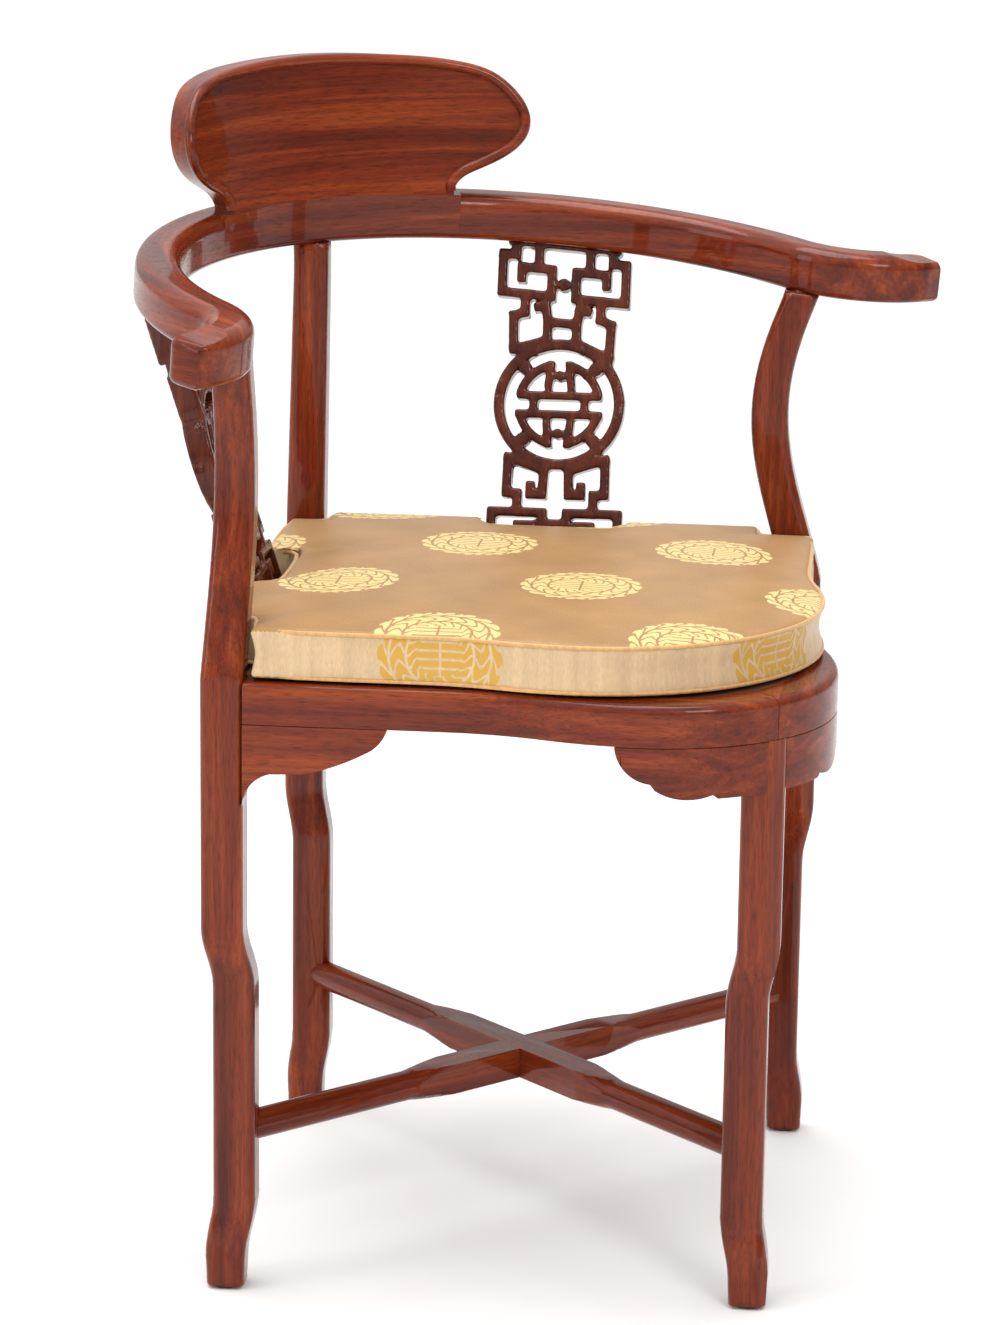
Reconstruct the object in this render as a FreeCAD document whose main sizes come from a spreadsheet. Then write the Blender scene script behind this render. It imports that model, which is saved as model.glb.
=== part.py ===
import FreeCAD, Part
import math
import os

from FreeCAD import Placement, Rotation, Vector

# Corner chair of polished rosewood, in millimetres, +Z up.
# Its front leg points to -Y and its back leg to +Y, so the four seat sides stand at 45 degrees.
# The seat frame below is that square seat with its sides along X and Y; SEAT turns it into place.

doc = FreeCAD.newDocument("corner_chair")
sheet = doc.addObject("Spreadsheet::Sheet", "Sizes")

# Driving dimensions: name, value, what it measures
SIZES = [
    ("clearance", 0.15, "gap left around every tenon, dowel and groove"),
    ("leg_reach", 212, "side and back leg centres from the seat's middle, along each seat side"),
    ("front_leg_inset", 15.2, "front leg centre inside the tip of the seat's round corner"),
    ("leg_side", 33, "side of the square legs"),
    ("foot_side", 29, "side of the legs at the floor"),
    ("leg_round", 7, "rounding of the legs' arrises"),
    ("knee_height", 271, "height of the knee's middle"),
    ("knee_inset", 11, "step of the shank towards the seat's middle"),
    ("ankle_height", 50, "height of the ankle's middle"),
    ("ankle_outset", 9, "step of the foot away from the seat's middle"),
    ("jog_length", 50, "height over which a knee or an ankle bends"),
    ("pad_thickness", 3, "felt pads under the feet"),
    ("pad_radius", 11, "radius of the felt pads"),
    ("post_top_side", 29.5, "side of the posts under the arm rail"),
    ("post_bow", 27, "bow of the side posts towards the back"),
    ("post_bow_skew", 1.2, "how far up the post the bow is fullest"),
    ("post_tuck", 2, "bow of the side posts towards the sitter"),
    ("post_lean", 8, "lean of the three posts towards the seat's middle at the arm rail"),
    ("post_tenon_radius", 9, "round tenons on the posts"),
    ("post_tenon_length", 18, "reach of those tenons into the arm rail"),
    ("rail_top", 492, "top of the seat rails"),
    ("rail_height", 32.5, "height of the seat rails"),
    ("rail_width", 30, "width of the seat rails in plan"),
    ("rail_round", 7, "rounding of the seat rails' upper edge"),
    ("swell", 24, "how far the front rails swell outwards"),
    ("swell_start", 40, "where the swell starts, from the rail's middle towards the side leg"),
    ("corner_centre", 110, "centre of the round front corner, along each seat side"),
    ("rail_tenon_thickness", 12, "tenons of the seat rails"),
    ("rail_tenon_height", 20, "height of those tenons"),
    ("rail_tenon_length", 10, "length of those tenons"),
    ("front_tenon_side", 14, "square tenon on the front leg"),
    ("front_tenon_height", 14, "height of that tenon"),
    ("mitre_key_length", 26, "loose tongue across the front mitre"),
    ("mitre_key_width", 14, "width of the tongue"),
    ("mitre_key_thickness", 4, "thickness of the tongue"),
    ("mitre_key_drop", 10, "top of the tongue below the rail's top"),
    ("panel_thickness", 12, "seat panel"),
    ("panel_drop", 1, "seat panel's top below the rail's top"),
    ("panel_tongue", 4, "depth and thickness of the panel's tongue"),
    ("batten_width", 30, "battens under the panel"),
    ("batten_height", 16, "height of the battens"),
    ("batten_spread", 70, "battens from the seat's middle"),
    ("bracket_thickness", 18, "apron brackets"),
    ("bracket_length", 111, "brackets of the side and back legs, along the rail"),
    ("bracket_drop", 64, "how far they run down the leg"),
    ("bracket_flat_drop", 38, "drop of their straight stretch"),
    ("front_bracket_length", 120, "brackets of the front leg, along the rail"),
    ("front_bracket_drop", 40, "how far those run down"),
    ("stretcher_height", 127, "centre of the cross stretchers"),
    ("stretcher_radius", 12, "round ends of the stretchers"),
    ("stretcher_block", 25, "square middle of the stretchers, across"),
    ("stretcher_block_half", 80, "half length of that square middle"),
    ("stretcher_taper", 42, "run from square to round"),
    ("stretcher_tenon_radius", 7, "round tenons in the legs"),
    ("stretcher_tenon_length", 16, "length of those tenons from the leg's centre outwards"),
    ("arm_height", 737.5, "underside of the arm rail over the side legs"),
    ("arm_tilt", 6.1, "slope of the arm rail, rising to the back, in degrees"),
    ("arm_radius", 297, "middle line of the arm rail"),
    ("arm_width", 36, "width of the arm rail"),
    ("arm_thickness", 39, "thickness of the arm rail"),
    ("arm_top_round", 12, "rounding of its upper edges"),
    ("arm_under_round", 6, "rounding of its lower edges"),
    ("hand_lead", 3.4, "where the hand hold leaves the circle, in degrees behind the side leg"),
    ("hand_radius", 76, "middle line of the out-turned hand hold"),
    ("hand_turn", 78, "turn of the hand hold, in degrees"),
    ("hand_run", 18, "straight end of the hand hold"),
    ("hand_corner", 14, "rounding of its corners in plan"),
    ("hand_dish", 5, "depth of the dish in its top"),
    ("hand_dish_radius", 90, "radius of that dish"),
    ("yoke_half_angle", 26, "half of the arc that the yoke takes, in degrees"),
    ("rail_dowel_radius", 5, "dowels between yoke and arms"),
    ("rail_dowel_half", 15, "half length of those dowels"),
    ("crest_thickness", 20, "crest panel"),
    ("crest_lean", 8, "backward lean of the crest, in degrees"),
    ("crest_height", 117, "crest above the arm rail"),
    ("crest_half_base", 116, "half width of its foot"),
    ("crest_half_width", 176, "half of its full width"),
    ("crest_shoulder", 20.5, "height of its foot's neck"),
    ("crest_ear", 58.5, "height of the ears' tips"),
    ("crest_dowel_radius", 5, "dowels between crest and yoke"),
    ("crest_dowel_half", 12, "half length of those dowels"),
    ("crest_dowel_spread", 18, "dowels' spacing along the arc, in degrees"),
    ("splat_inset", 16.5, "splat's middle at the rail's top, inside the seat's edge"),
    ("splat_thickness", 18, "carved splats"),
    ("splat_half_base", 57, "half length of the fret's bottom bar"),
    ("splat_stroke", 7, "width of the fret's strokes"),
    ("splat_tenon_half", 30, "half width of the splat's tenons"),
    ("splat_tenon_thickness", 8, "thickness of those tenons"),
    ("splat_tenon_length", 10, "length of those tenons"),
    ("roundel_radius", 55.5, "outside of the roundel"),
    ("roundel_drop", 141, "roundel's middle below the arm rail, down the splat"),
    ("cushion_inset", 4, "cushion's edge inside the seat's edge"),
    ("cushion_swell", 15.5, "how far the cushion's front edges swell outwards"),
    ("cushion_swell_start", 60, "where that swell starts, from the middle towards the side leg"),
    ("cushion_corner_centre", 62, "centre of the cushion's round front corner, along each side"),
    ("cushion_thickness", 43, "cushion at its edge"),
    ("cushion_crown", 5, "rise of the cushion's top to its middle"),
    ("cushion_draw", 4, "how far its sides are drawn in"),
    ("cushion_gap", 0.3, "cushion above the rails"),
    ("cushion_post_gap", 19, "room behind the bowed posts"),
    ("cushion_notch_gap", 4, "room beside posts and splats"),
    ("cover_thickness", 1.5, "silk cover with its lining"),
]
for row, (alias, value, words) in enumerate(SIZES, start=1):
    sheet.set(f"A{row}", words)
    sheet.set(f"B{row}", str(value))
    sheet.setAlias(f"B{row}", alias)
doc.recompute()


def size(alias):
    return float(sheet.get(alias))


UP = Vector(0, 0, 1)
SEAT = Placement(Vector(), Rotation(UP, -45))
TILT = Placement(Vector(0, 0, size("arm_height")), Rotation(Vector(1, 0, 0), size("arm_tilt")))
DIAGONAL = math.sqrt(0.5)
CLEAR = size("clearance")
RAIL_TOP = size("rail_top")
RAIL_UNDER = RAIL_TOP - size("rail_height")
LEG_HALF = size("leg_side") / 2
SEAT_HALF = size("leg_reach") + LEG_HALF
# Tools that only cut are this much larger than what they cut
SPARE = 60
# Turn of the round tenons about their own axis, which keeps their seam off the legs' arrises
TENON_SPIN = 30
HALF_TURN = 180
SPLAT_SEAT = SEAT_HALF - size("splat_inset")
nodes = []


# Small makers of document objects
def bind(thing, **cells):
    for name, formula in cells.items():
        thing.setExpression(name, formula)
    return thing


def box(name, place, length, width, height):
    """A box with its corner at the given place and its sides bound to the sheet."""
    made = bind(doc.addObject("Part::Box", name), Length=length, Width=width, Height=height)
    made.Placement = place
    return made


def cylinder(name, place, radius, height):
    made = bind(doc.addObject("Part::Cylinder", name), Radius=radius, Height=height)
    made.Placement = place
    return made


def extrude(name, face, height, place=SEAT):
    """The flat face, carried up by a height from the sheet."""
    outline = doc.addObject("Part::Feature", name + "_outline")
    outline.Shape = face
    outline.Placement = place.multiply(outline.Placement)
    made = doc.addObject("Part::Extrusion", name)
    made.Base = outline
    made.DirMode = "Custom"
    made.Dir = place.Rotation.multVec(UP)
    made.Solid = True
    return bind(made, LengthFwd=height)


def fuse(name, pieces):
    made = doc.addObject("Part::MultiFuse", name)
    made.Shapes = pieces
    made.Refine = True
    return made


def cut(name, base, tools):
    made = doc.addObject("Part::Cut", name)
    made.Base = base
    made.Tool = tools[0] if len(tools) == 1 else fuse(name + "_tools", tools)
    return made


def common(name, first, second):
    made = doc.addObject("Part::Common", name)
    made.Base = first
    made.Tool = second
    return made


def fillet(name, base, radius, chosen):
    """Rounds the base's edges for which chosen(edge) holds."""
    doc.recompute()
    made = doc.addObject("Part::Fillet", name)
    made.Base = base
    edges = [i for i, edge in enumerate(base.Shape.Edges, start=1) if chosen(edge)]
    made.Edges = [(i, radius, radius) for i in edges]
    return made


def node(thing, name):
    thing.Label = name
    nodes.append(thing)
    return thing


def mirrored(source, name):
    """The right-hand copy of a left-hand piece, or the other way round."""
    made = doc.addObject("Part::Mirroring", name)
    made.Source = source
    made.Base = Vector()
    made.Normal = Vector(1, 0, 0)
    return node(made, name)


def at(x, y, z, turn=0, axis=UP):
    """A place in the seat frame."""
    return SEAT.multiply(Placement(Vector(x, y, z), Rotation(axis, turn)))


def lines(points):
    return [Part.LineSegment(p, q).toShape() for p, q in zip(points, points[1:])]


def arc(centre, start, end):
    """The arc of under a half circle about a centre."""
    radius = (start - centre).Length
    middle = centre + ((start - centre) + (end - centre)).normalize() * radius
    return Part.Arc(start, middle, end).toShape()


def face_of(edges):
    return Part.Face(Part.Wire(Part.__sortEdges__(edges)))


def polar(radius, degrees, z=0.0):
    turn = math.radians(degrees)
    return Vector(radius * math.cos(turn), radius * math.sin(turn), z)


def swap(point):
    """The seat frame's mirror image: left and right change places."""
    return Vector(-point.y, -point.x, point.z)


# Seat plan: straight beside the side legs, then a gentle S out to the round front corner
def seat_plan():
    """Half side, swell, start of the swell and centre of the front corner."""
    return SEAT_HALF, size("swell"), size("swell_start"), size("corner_centre")


def cushion_plan():
    """The cushion keeps to the same line with a fuller front corner."""
    half = SEAT_HALF - size("cushion_inset")
    return half, size("cushion_swell"), size("cushion_swell_start"), size("cushion_corner_centre")


def corner_radius(plan):
    half, swell, _, middle = plan
    return half + swell - middle


# The front leg keeps its distance from the round corner's tip
CORNER_TIP = size("corner_centre") / DIAGONAL + corner_radius(seat_plan())
FRONT_REACH = (CORNER_TIP - size("front_leg_inset")) * DIAGONAL


def front_edge(inset, start, plan):
    """Front left edge of a plan, moved inwards, from x = start to the mitre."""
    half, swell, first, middle = plan
    bend = ((middle + first) ** 2 + swell ** 2) / (4 * swell)
    hollow = Vector(-first, -half - bend, 0)
    full = Vector(middle, -half - swell + bend, 0)
    corner = Vector(middle, -middle, 0)
    turn = (full - hollow).normalize()
    p0 = Vector(start, -half + inset, 0)
    p1 = Vector(hollow.x, p0.y, 0)
    p2 = hollow + turn * (bend + inset)
    p3 = full + Vector(0, inset - bend, 0)
    p4 = corner + polar(corner_radius(plan) - inset, -45)
    edges = lines([p0, p1]) + [arc(hollow, p1, p2), arc(full, p2, p3), arc(corner, p3, p4)]
    return edges, p0, p4


def mirror_edges(edges):
    plane = Vector(1, 1, 0).normalize()
    return [edge.mirror(Vector(), plane) for edge in edges]


def seat_face(inset, z):
    """The whole seat's plan, moved inwards."""
    reach = SEAT_HALF - inset
    edges, start, _ = front_edge(inset, -reach, seat_plan())
    back = [start, Vector(-reach, reach, 0), swap(start)]
    face = face_of(edges + mirror_edges(edges) + lines(back))
    face.translate(Vector(0, 0, z))
    return face


# Legs and posts
LEGS = {"left": (-1, -1), "right": (1, 1), "back": (-1, 1), "front": (1, -1)}
PLAIN_LEGS = ("left", "right", "back")


def leg_centre(name):
    reach = FRONT_REACH if name == "front" else size("leg_reach")
    return Vector(LEGS[name][0] * reach, LEGS[name][1] * reach, 0)


def smooth_step(z, middle):
    """0 below a jog and 1 above it."""
    t = min(max((z - middle) / size("jog_length") + 0.5, 0), 1)
    return (1 - math.cos(math.pi * t)) / 2


def leg_inset(z):
    """How far the leg's axis stands inside its upper line at a height."""
    foot = size("knee_inset") - size("ankle_outset")
    step = foot + size("ankle_outset") * smooth_step(z, size("ankle_height"))
    return step * (1 - smooth_step(z, size("knee_height")))


def arm_under(y):
    """Height of the arm rail's underside above a place."""
    return size("arm_height") + math.tan(math.radians(size("arm_tilt"))) * y


def rounded_square(centre, side, z):
    r = size("leg_round")
    h = side / 2
    edges = []
    for k in range(4):
        spin = Rotation(UP, 90 * k)
        a, b = Vector(h, r - h, 0), Vector(h, h - r, 0)
        hub, c = Vector(h - r, h - r, 0), Vector(h - r, h, 0)
        turned = [spin.multVec(p) + centre + Vector(0, 0, z) for p in (a, b, c, hub)]
        edges += [Part.LineSegment(turned[0], turned[1]).toShape(), arc(turned[3], turned[1], turned[2])]
    return Part.Wire(edges)


def leg_section(name, z):
    """The leg's outline at a height: knee and ankle jogs below the seat, a bowed post above it."""
    inward = Vector(-LEGS[name][0], -LEGS[name][1], 0) * DIAGONAL
    centre = leg_centre(name) + inward * leg_inset(z)
    side = size("leg_side")
    if z < size("ankle_height"):
        side += (size("foot_side") - side) * (1 - z / size("ankle_height"))
    if z > RAIL_TOP:
        t = (z - RAIL_TOP) / (size("arm_height") - RAIL_TOP)
        side += (size("post_top_side") - side) * min(t, 1)
        centre += inward * size("post_lean") * min(t, 1)
        if name in ("left", "right"):
            along = Vector(0, 1, 0) if name == "left" else Vector(-1, 0, 0)
            bow = size("post_bow") * math.sin(math.pi * min(t, 1) ** size("post_bow_skew"))
            tuck = size("post_tuck") * math.sin(math.pi * min(t, 1))
            centre += along * bow + (Vector(1, 0, 0) if name == "left" else Vector(0, -1, 0)) * tuck
    return rounded_square(centre, side, z)


def leg_loft(name, leg, low, high, count):
    """A bending stretch of a leg, through evenly spaced outlines."""
    sections = []
    for k in range(count + 1):
        section = doc.addObject("Part::Feature", f"{name}_section_{k}")
        section.Shape = leg_section(leg, low + (high - low) * k / count)
        section.Placement = SEAT
        sections.append(section)
    made = doc.addObject("Part::Loft", name)
    made.Sections = sections
    made.Solid = True
    made.Ruled = False
    return made


def leg_prism(name, leg, low, high):
    """A straight stretch of a leg."""
    made = extrude(name, Part.Face(leg_section(leg, low)), "Sizes.jog_length")
    made.setExpression("LengthFwd", None)
    made.LengthFwd = high - low
    return made


def leg_blank(leg, top):
    """Foot with its ankle, shank, knee, thigh and, on three legs, the post above the seat."""
    half = size("jog_length") / 2
    ankle, knee = size("ankle_height") + half, size("knee_height") - half
    thigh = knee + size("jog_length")
    stretches = [
        leg_loft(f"{leg}_foot", leg, size("pad_thickness"), ankle, 9),
        leg_prism(f"{leg}_shank", leg, ankle, knee),
        leg_loft(f"{leg}_knee", leg, knee, thigh, 8),
        leg_prism(f"{leg}_thigh", leg, thigh, min(top, RAIL_TOP)),
    ]
    if top > RAIL_TOP:
        stretches.append(leg_loft(f"{leg}_post", leg, RAIL_TOP, top, 12))
    return fuse(f"{leg}_leg_blank", stretches)


def rail_tenon(name, leg, along_x, slack):
    """Tenon of a seat rail in a side or back leg, or its mortise where slack is not zero."""
    centre = leg_centre(leg)
    thick = "Sizes.rail_tenon_thickness"
    tall = "Sizes.rail_tenon_height"
    long = "Sizes.rail_tenon_length"
    if slack:
        thick, tall, long = (text + " + 2 * Sizes.clearance" for text in (thick, tall, long))
    half_thick = size("rail_tenon_thickness") / 2 + slack
    length = size("rail_tenon_length") + 2 * slack
    middle = SEAT_HALF - size("rail_width") / 2
    z = (RAIL_TOP + RAIL_UNDER - size("rail_tenon_height")) / 2 - slack
    inner = size("leg_reach") - LEG_HALF - slack
    if along_x:
        low = inner if centre.x > 0 else -inner - length
        return box(name, at(low, math.copysign(middle, centre.y) - half_thick, z), long, thick, tall)
    low = inner if centre.y > 0 else -inner - length
    return box(name, at(math.copysign(middle, centre.x) - half_thick, low, z), thick, long, tall)


def arm_space(name):
    """Everything above the arm rail's underside."""
    wide = 2 * (size("arm_radius") + size("hand_radius") + size("arm_width") + SPARE)
    made = doc.addObject("Part::Box", name)
    made.Length = made.Width = wide
    made.Height = size("arm_height")
    made.Placement = TILT.multiply(Placement(Vector(-wide / 2, -wide / 2, 0), Rotation()))
    return made


def post_tenon(name, leg, slack):
    """Round tenon from a post into the arm rail, or its mortise."""
    centre = leg_centre(leg) - Vector(*LEGS[leg], 0) * DIAGONAL * size("post_lean")
    world_y = SEAT.multVec(centre).y
    foot = arm_under(world_y) - size("post_tenon_length") / 2
    made = cylinder(name, at(centre.x, centre.y, foot), "Sizes.post_tenon_radius", "Sizes.post_tenon_length * 1.5")
    if slack:
        bind(made, Radius="Sizes.post_tenon_radius + Sizes.clearance")
        bind(made, Height="Sizes.post_tenon_length * 1.5 + Sizes.clearance")
    return made


def stretcher_tenon(name, leg, slack):
    """Round tenon of a cross stretcher, lying along the leg's diagonal."""
    inward = Vector(-LEGS[leg][0], -LEGS[leg][1], 0) * DIAGONAL
    axis = leg_centre(leg) + inward * leg_inset(size("stretcher_height"))
    end = axis - inward * (size("stretcher_tenon_length") - LEG_HALF + slack)
    spin = Rotation(UP, inward).multiply(Rotation(UP, TENON_SPIN))
    place = SEAT.multiply(Placement(end + UP * size("stretcher_height"), spin))
    made = cylinder(name, place, "Sizes.stretcher_tenon_radius", "Sizes.leg_side + Sizes.stretcher_tenon_length")
    if slack:
        bind(made, Radius="Sizes.stretcher_tenon_radius + Sizes.clearance")
    return made


def plain_leg(name):
    """A leg that runs on above the seat as a post: three of the four do."""
    world_y = SEAT.multVec(leg_centre(name)).y
    blank = leg_blank(name, arm_under(world_y) + LEG_HALF)
    post = cut(f"{name}_leg_shoulder", blank, [arm_space(f"{name}_leg_arm_space")])
    whole = fuse(f"{name}_leg_with_tenon", [post, post_tenon(f"{name}_post_tenon", name, 0)])
    mortises = [
        rail_tenon(f"{name}_leg_mortise_x", name, True, CLEAR),
        rail_tenon(f"{name}_leg_mortise_y", name, False, CLEAR),
        stretcher_tenon(f"{name}_leg_mortise_round", name, CLEAR),
    ]
    return cut(f"{name}_leg", whole, mortises)


def front_tenon(name, slack):
    side = size("front_tenon_side") / 2 + slack
    centre = leg_centre("front")
    wide, tall = "Sizes.front_tenon_side", "Sizes.front_tenon_height"
    if slack:
        wide, tall = (text + " + 2 * Sizes.clearance" for text in (wide, tall))
    return box(name, at(centre.x - side, centre.y - side, RAIL_UNDER - slack), wide, wide, tall)


def front_leg():
    """The short front leg: its top follows the seat's round corner and is tenoned into both rails."""
    blank = leg_blank("front", RAIL_UNDER)
    plan = extrude("front_leg_plan", seat_face(0, 0), "Sizes.rail_top")
    trimmed = common("front_leg_trimmed", blank, plan)
    whole = fuse("front_leg_with_tenon", [trimmed, front_tenon("front_leg_tenon", 0)])
    return cut("front_leg", whole, [stretcher_tenon("front_leg_mortise", "front", CLEAR)])


# The right leg is the left leg's mirror image
left_leg = node(plain_leg("left"), "left_leg")
mirrored(left_leg, "right_leg")
node(plain_leg("back"), "back_leg")
node(front_leg(), "front_leg")
for leg_name in LEGS:
    inward = Vector(-LEGS[leg_name][0], -LEGS[leg_name][1], 0) * DIAGONAL
    foot = leg_centre(leg_name) + inward * leg_inset(0)
    pad = cylinder(f"{leg_name}_pad", at(foot.x, foot.y, 0), "Sizes.pad_radius", "Sizes.pad_thickness")
    node(pad, f"{leg_name}_foot_pad")


# Seat rails, panel and battens
PANEL_TOP = RAIL_TOP - size("panel_drop")
PANEL_UNDER = PANEL_TOP - size("panel_thickness")
LEG_INNER = size("leg_reach") - LEG_HALF


def groove(name):
    """Room for the panel's tongue in the rails."""
    inset = size("rail_width") - size("panel_tongue") - CLEAR
    return extrude(name, seat_face(inset, PANEL_UNDER - CLEAR), "Sizes.panel_tongue + 2 * Sizes.clearance")


def mitre_key(name, slack):
    """Loose tongue across the front mitre."""
    long = size("mitre_key_length") / 2 + slack
    across = size("mitre_key_width") / 2 + slack
    reach = CORNER_TIP - size("rail_width") / 2
    z = RAIL_TOP - size("mitre_key_drop") - size("mitre_key_thickness") - slack
    place = Placement(Vector(-long, -reach - across, z), Rotation())
    cells = ["Sizes.mitre_key_length", "Sizes.mitre_key_width", "Sizes.mitre_key_thickness"]
    if slack:
        cells = [text + " + 2 * Sizes.clearance" for text in cells]
    return box(name, place, *cells)


def outer_top(edge):
    """An edge on the rails' top that lies on the seat's outer edge."""
    middle = SEAT.inverse().multVec(edge.valueAt((edge.FirstParameter + edge.LastParameter) / 2))
    level = all(abs(v.Z - RAIL_TOP) < 0.01 for v in edge.Vertexes)
    return level and seat_face(0, RAIL_TOP).OuterWire.distToShape(Part.Vertex(middle))[0] < 0.01


def splat_place():
    """The right splat's plane: X along the rail, Y up the splat, Z towards the sitter."""
    rise = splat_top_height() - RAIL_TOP
    lean = math.degrees(math.atan2(size("arm_radius") - SPLAT_SEAT, rise))
    return at(0, SPLAT_SEAT, RAIL_TOP, 90 - lean, Vector(1, 0, 0))


def splat_top_height():
    return arm_under(size("arm_radius") * DIAGONAL)


def splat_length():
    return math.hypot(splat_top_height() - RAIL_TOP, size("arm_radius") - SPLAT_SEAT)


def splat_tenon(name, upper, slack, length):
    """Tenon at the foot or head of the right splat, or its mortise."""
    half = size("splat_tenon_half") + slack
    thick = size("splat_tenon_thickness") / 2 + slack
    foot = splat_length() - length if upper else -size("splat_tenon_length") - slack
    place = splat_place().multiply(Placement(Vector(-half, foot, -thick), Rotation()))
    made = box(name, place, "2 * Sizes.splat_tenon_half", "Sizes.splat_tenon_length", "Sizes.splat_tenon_thickness")
    if slack:
        bind(made, Length="2 * Sizes.splat_tenon_half + 2 * Sizes.clearance")
        bind(made, Height="Sizes.splat_tenon_thickness + 2 * Sizes.clearance")
    made.setExpression("Width", f"Sizes.splat_tenon_length + {length + slack}")
    return made


def front_left_rail():
    outer, start, mitre = front_edge(0, -LEG_INNER, seat_plan())
    inner, inner_start, inner_mitre = front_edge(size("rail_width"), -LEG_INNER, seat_plan())
    plan = face_of(outer + inner + lines([start, inner_start]) + lines([mitre, inner_mitre]))
    plan.translate(Vector(0, 0, RAIL_UNDER))
    blank = extrude("front_left_rail_blank", plan, "Sizes.rail_height")
    rounded = fillet("front_left_rail_rounded", blank, size("rail_round"), outer_top)
    whole = fuse("front_left_rail_with_tenon", [rounded, rail_tenon("front_left_rail_tenon", "left", True, 0)])
    tools = [groove("front_left_groove"), front_tenon("front_left_mortise", CLEAR)]
    tools.append(mitre_key("front_left_slot", CLEAR))
    return cut("front_left_rail", whole, tools)


def back_right_rail():
    place = at(-LEG_INNER, SEAT_HALF - size("rail_width"), RAIL_UNDER)
    long = "2 * Sizes.leg_reach - Sizes.leg_side"
    blank = box("back_right_rail_blank", place, long, "Sizes.rail_width", "Sizes.rail_height")
    rounded = fillet("back_right_rail_rounded", blank, size("rail_round"), outer_top)
    tenons = [rail_tenon(f"back_right_rail_tenon_{leg}", leg, True, 0) for leg in ("right", "back")]
    whole = fuse("back_right_rail_with_tenons", [rounded] + tenons)
    mortise = splat_tenon("back_right_rail_mortise", False, CLEAR, size("splat_thickness"))
    return cut("back_right_rail", whole, [groove("back_right_groove"), mortise])


front_left = node(front_left_rail(), "front_left_rail")
mirrored(front_left, "front_right_rail")
back_right = node(back_right_rail(), "back_right_rail")
mirrored(back_right, "back_left_rail")
node(mitre_key("mitre_key_piece", 0), "mitre_key")


def leg_room(name, leg, slack, z, height):
    """Upright square room around a leg."""
    centre = leg_centre(leg)
    side = size("leg_side") / 2 + slack
    made = doc.addObject("Part::Box", name)
    bind(made, Length=f"Sizes.leg_side + {2 * slack}", Width=f"Sizes.leg_side + {2 * slack}")
    made.Height = height
    made.Placement = at(centre.x - side, centre.y - side, z)
    return made


def seat_panel():
    inner = size("rail_width")
    field = extrude("panel_field", seat_face(inner + 2 * CLEAR, PANEL_UNDER), "Sizes.panel_thickness")
    tongue = extrude("panel_tongues", seat_face(inner - size("panel_tongue"), PANEL_UNDER), "Sizes.panel_tongue")
    whole = fuse("panel_whole", [field, tongue])
    rooms = [leg_room(f"panel_room_{leg}", leg, 2 * CLEAR, PANEL_UNDER - SPARE, 2 * SPARE) for leg in PLAIN_LEGS]
    return cut("seat_panel", whole, rooms)


def batten(name, x):
    """A bar under the panel, scribed between the front left and back right rails."""
    low = -SEAT_HALF - size("swell")
    z = PANEL_UNDER - size("batten_height")
    place = at(x - size("batten_width") / 2, low, z)
    bar = box(name + "_bar", place, "Sizes.batten_width", "4 * Sizes.leg_reach", "Sizes.batten_height")
    room = extrude(name + "_room", seat_face(size("rail_width") + CLEAR, z), "Sizes.batten_height")
    return common(name, bar, room)


node(seat_panel(), "seat_panel")
node(batten("left_batten_piece", -size("batten_spread")), "left_batten")
node(batten("right_batten_piece", size("batten_spread")), "right_batten")


# Apron brackets in the corners between legs and rails
def bracket_face():
    """Outline of a plain bracket: X away from the leg, Y up to the rail's underside."""
    long, drop, flat = size("bracket_length"), size("bracket_drop"), size("bracket_flat_drop")
    run = drop - flat
    p0, p1 = Vector(0, 0, 0), Vector(0, -drop, 0)
    p2 = Vector(run * 0.8, -flat, 0)
    bend = Vector(run * 0.29, -flat - run * 0.3, 0)
    p3 = Vector(long * 0.42, -flat + 1, 0)
    p4 = Vector(long * 0.85, -flat / 2, 0)
    p5 = Vector(long, 0, 0)
    low = Vector(long * 0.66, -flat * 0.76, 0)
    tip = Vector(long * 0.95, -flat * 0.27, 0)
    edges = lines([p0, p1]) + [Part.Arc(p1, bend, p2).toShape()] + lines([p2, p3])
    edges += [Part.Arc(p3, low, p4).toShape(), Part.Arc(p4, tip, p5).toShape()] + lines([p5, p0])
    return face_of(edges)


def plain_bracket(name, leg, along_x):
    """Bracket of a side or back leg, flush with the rail's outer face."""
    centre = leg_centre(leg)
    side_x, side_y = LEGS[leg]
    start = LEG_INNER - CLEAR
    thick = size("bracket_thickness")
    outward = Rotation(Vector(1, 0, 0), 90)
    if along_x:
        spot = Vector(side_x * start, side_y * SEAT_HALF, RAIL_UNDER)
        turn = outward if side_x < 0 else Rotation(UP, HALF_TURN).multiply(outward)
        outside = (side_y < 0) == (side_x < 0)
    else:
        spot = Vector(side_x * SEAT_HALF, side_y * start, RAIL_UNDER)
        turn = Rotation(UP, 90 if side_y < 0 else -90).multiply(outward)
        outside = (side_x > 0) == (side_y < 0)
    normal = turn.multVec(UP)
    if outside:
        spot -= normal * thick
    return extrude(name, bracket_face(), "Sizes.bracket_thickness", SEAT.multiply(Placement(spot, turn)))


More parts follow.
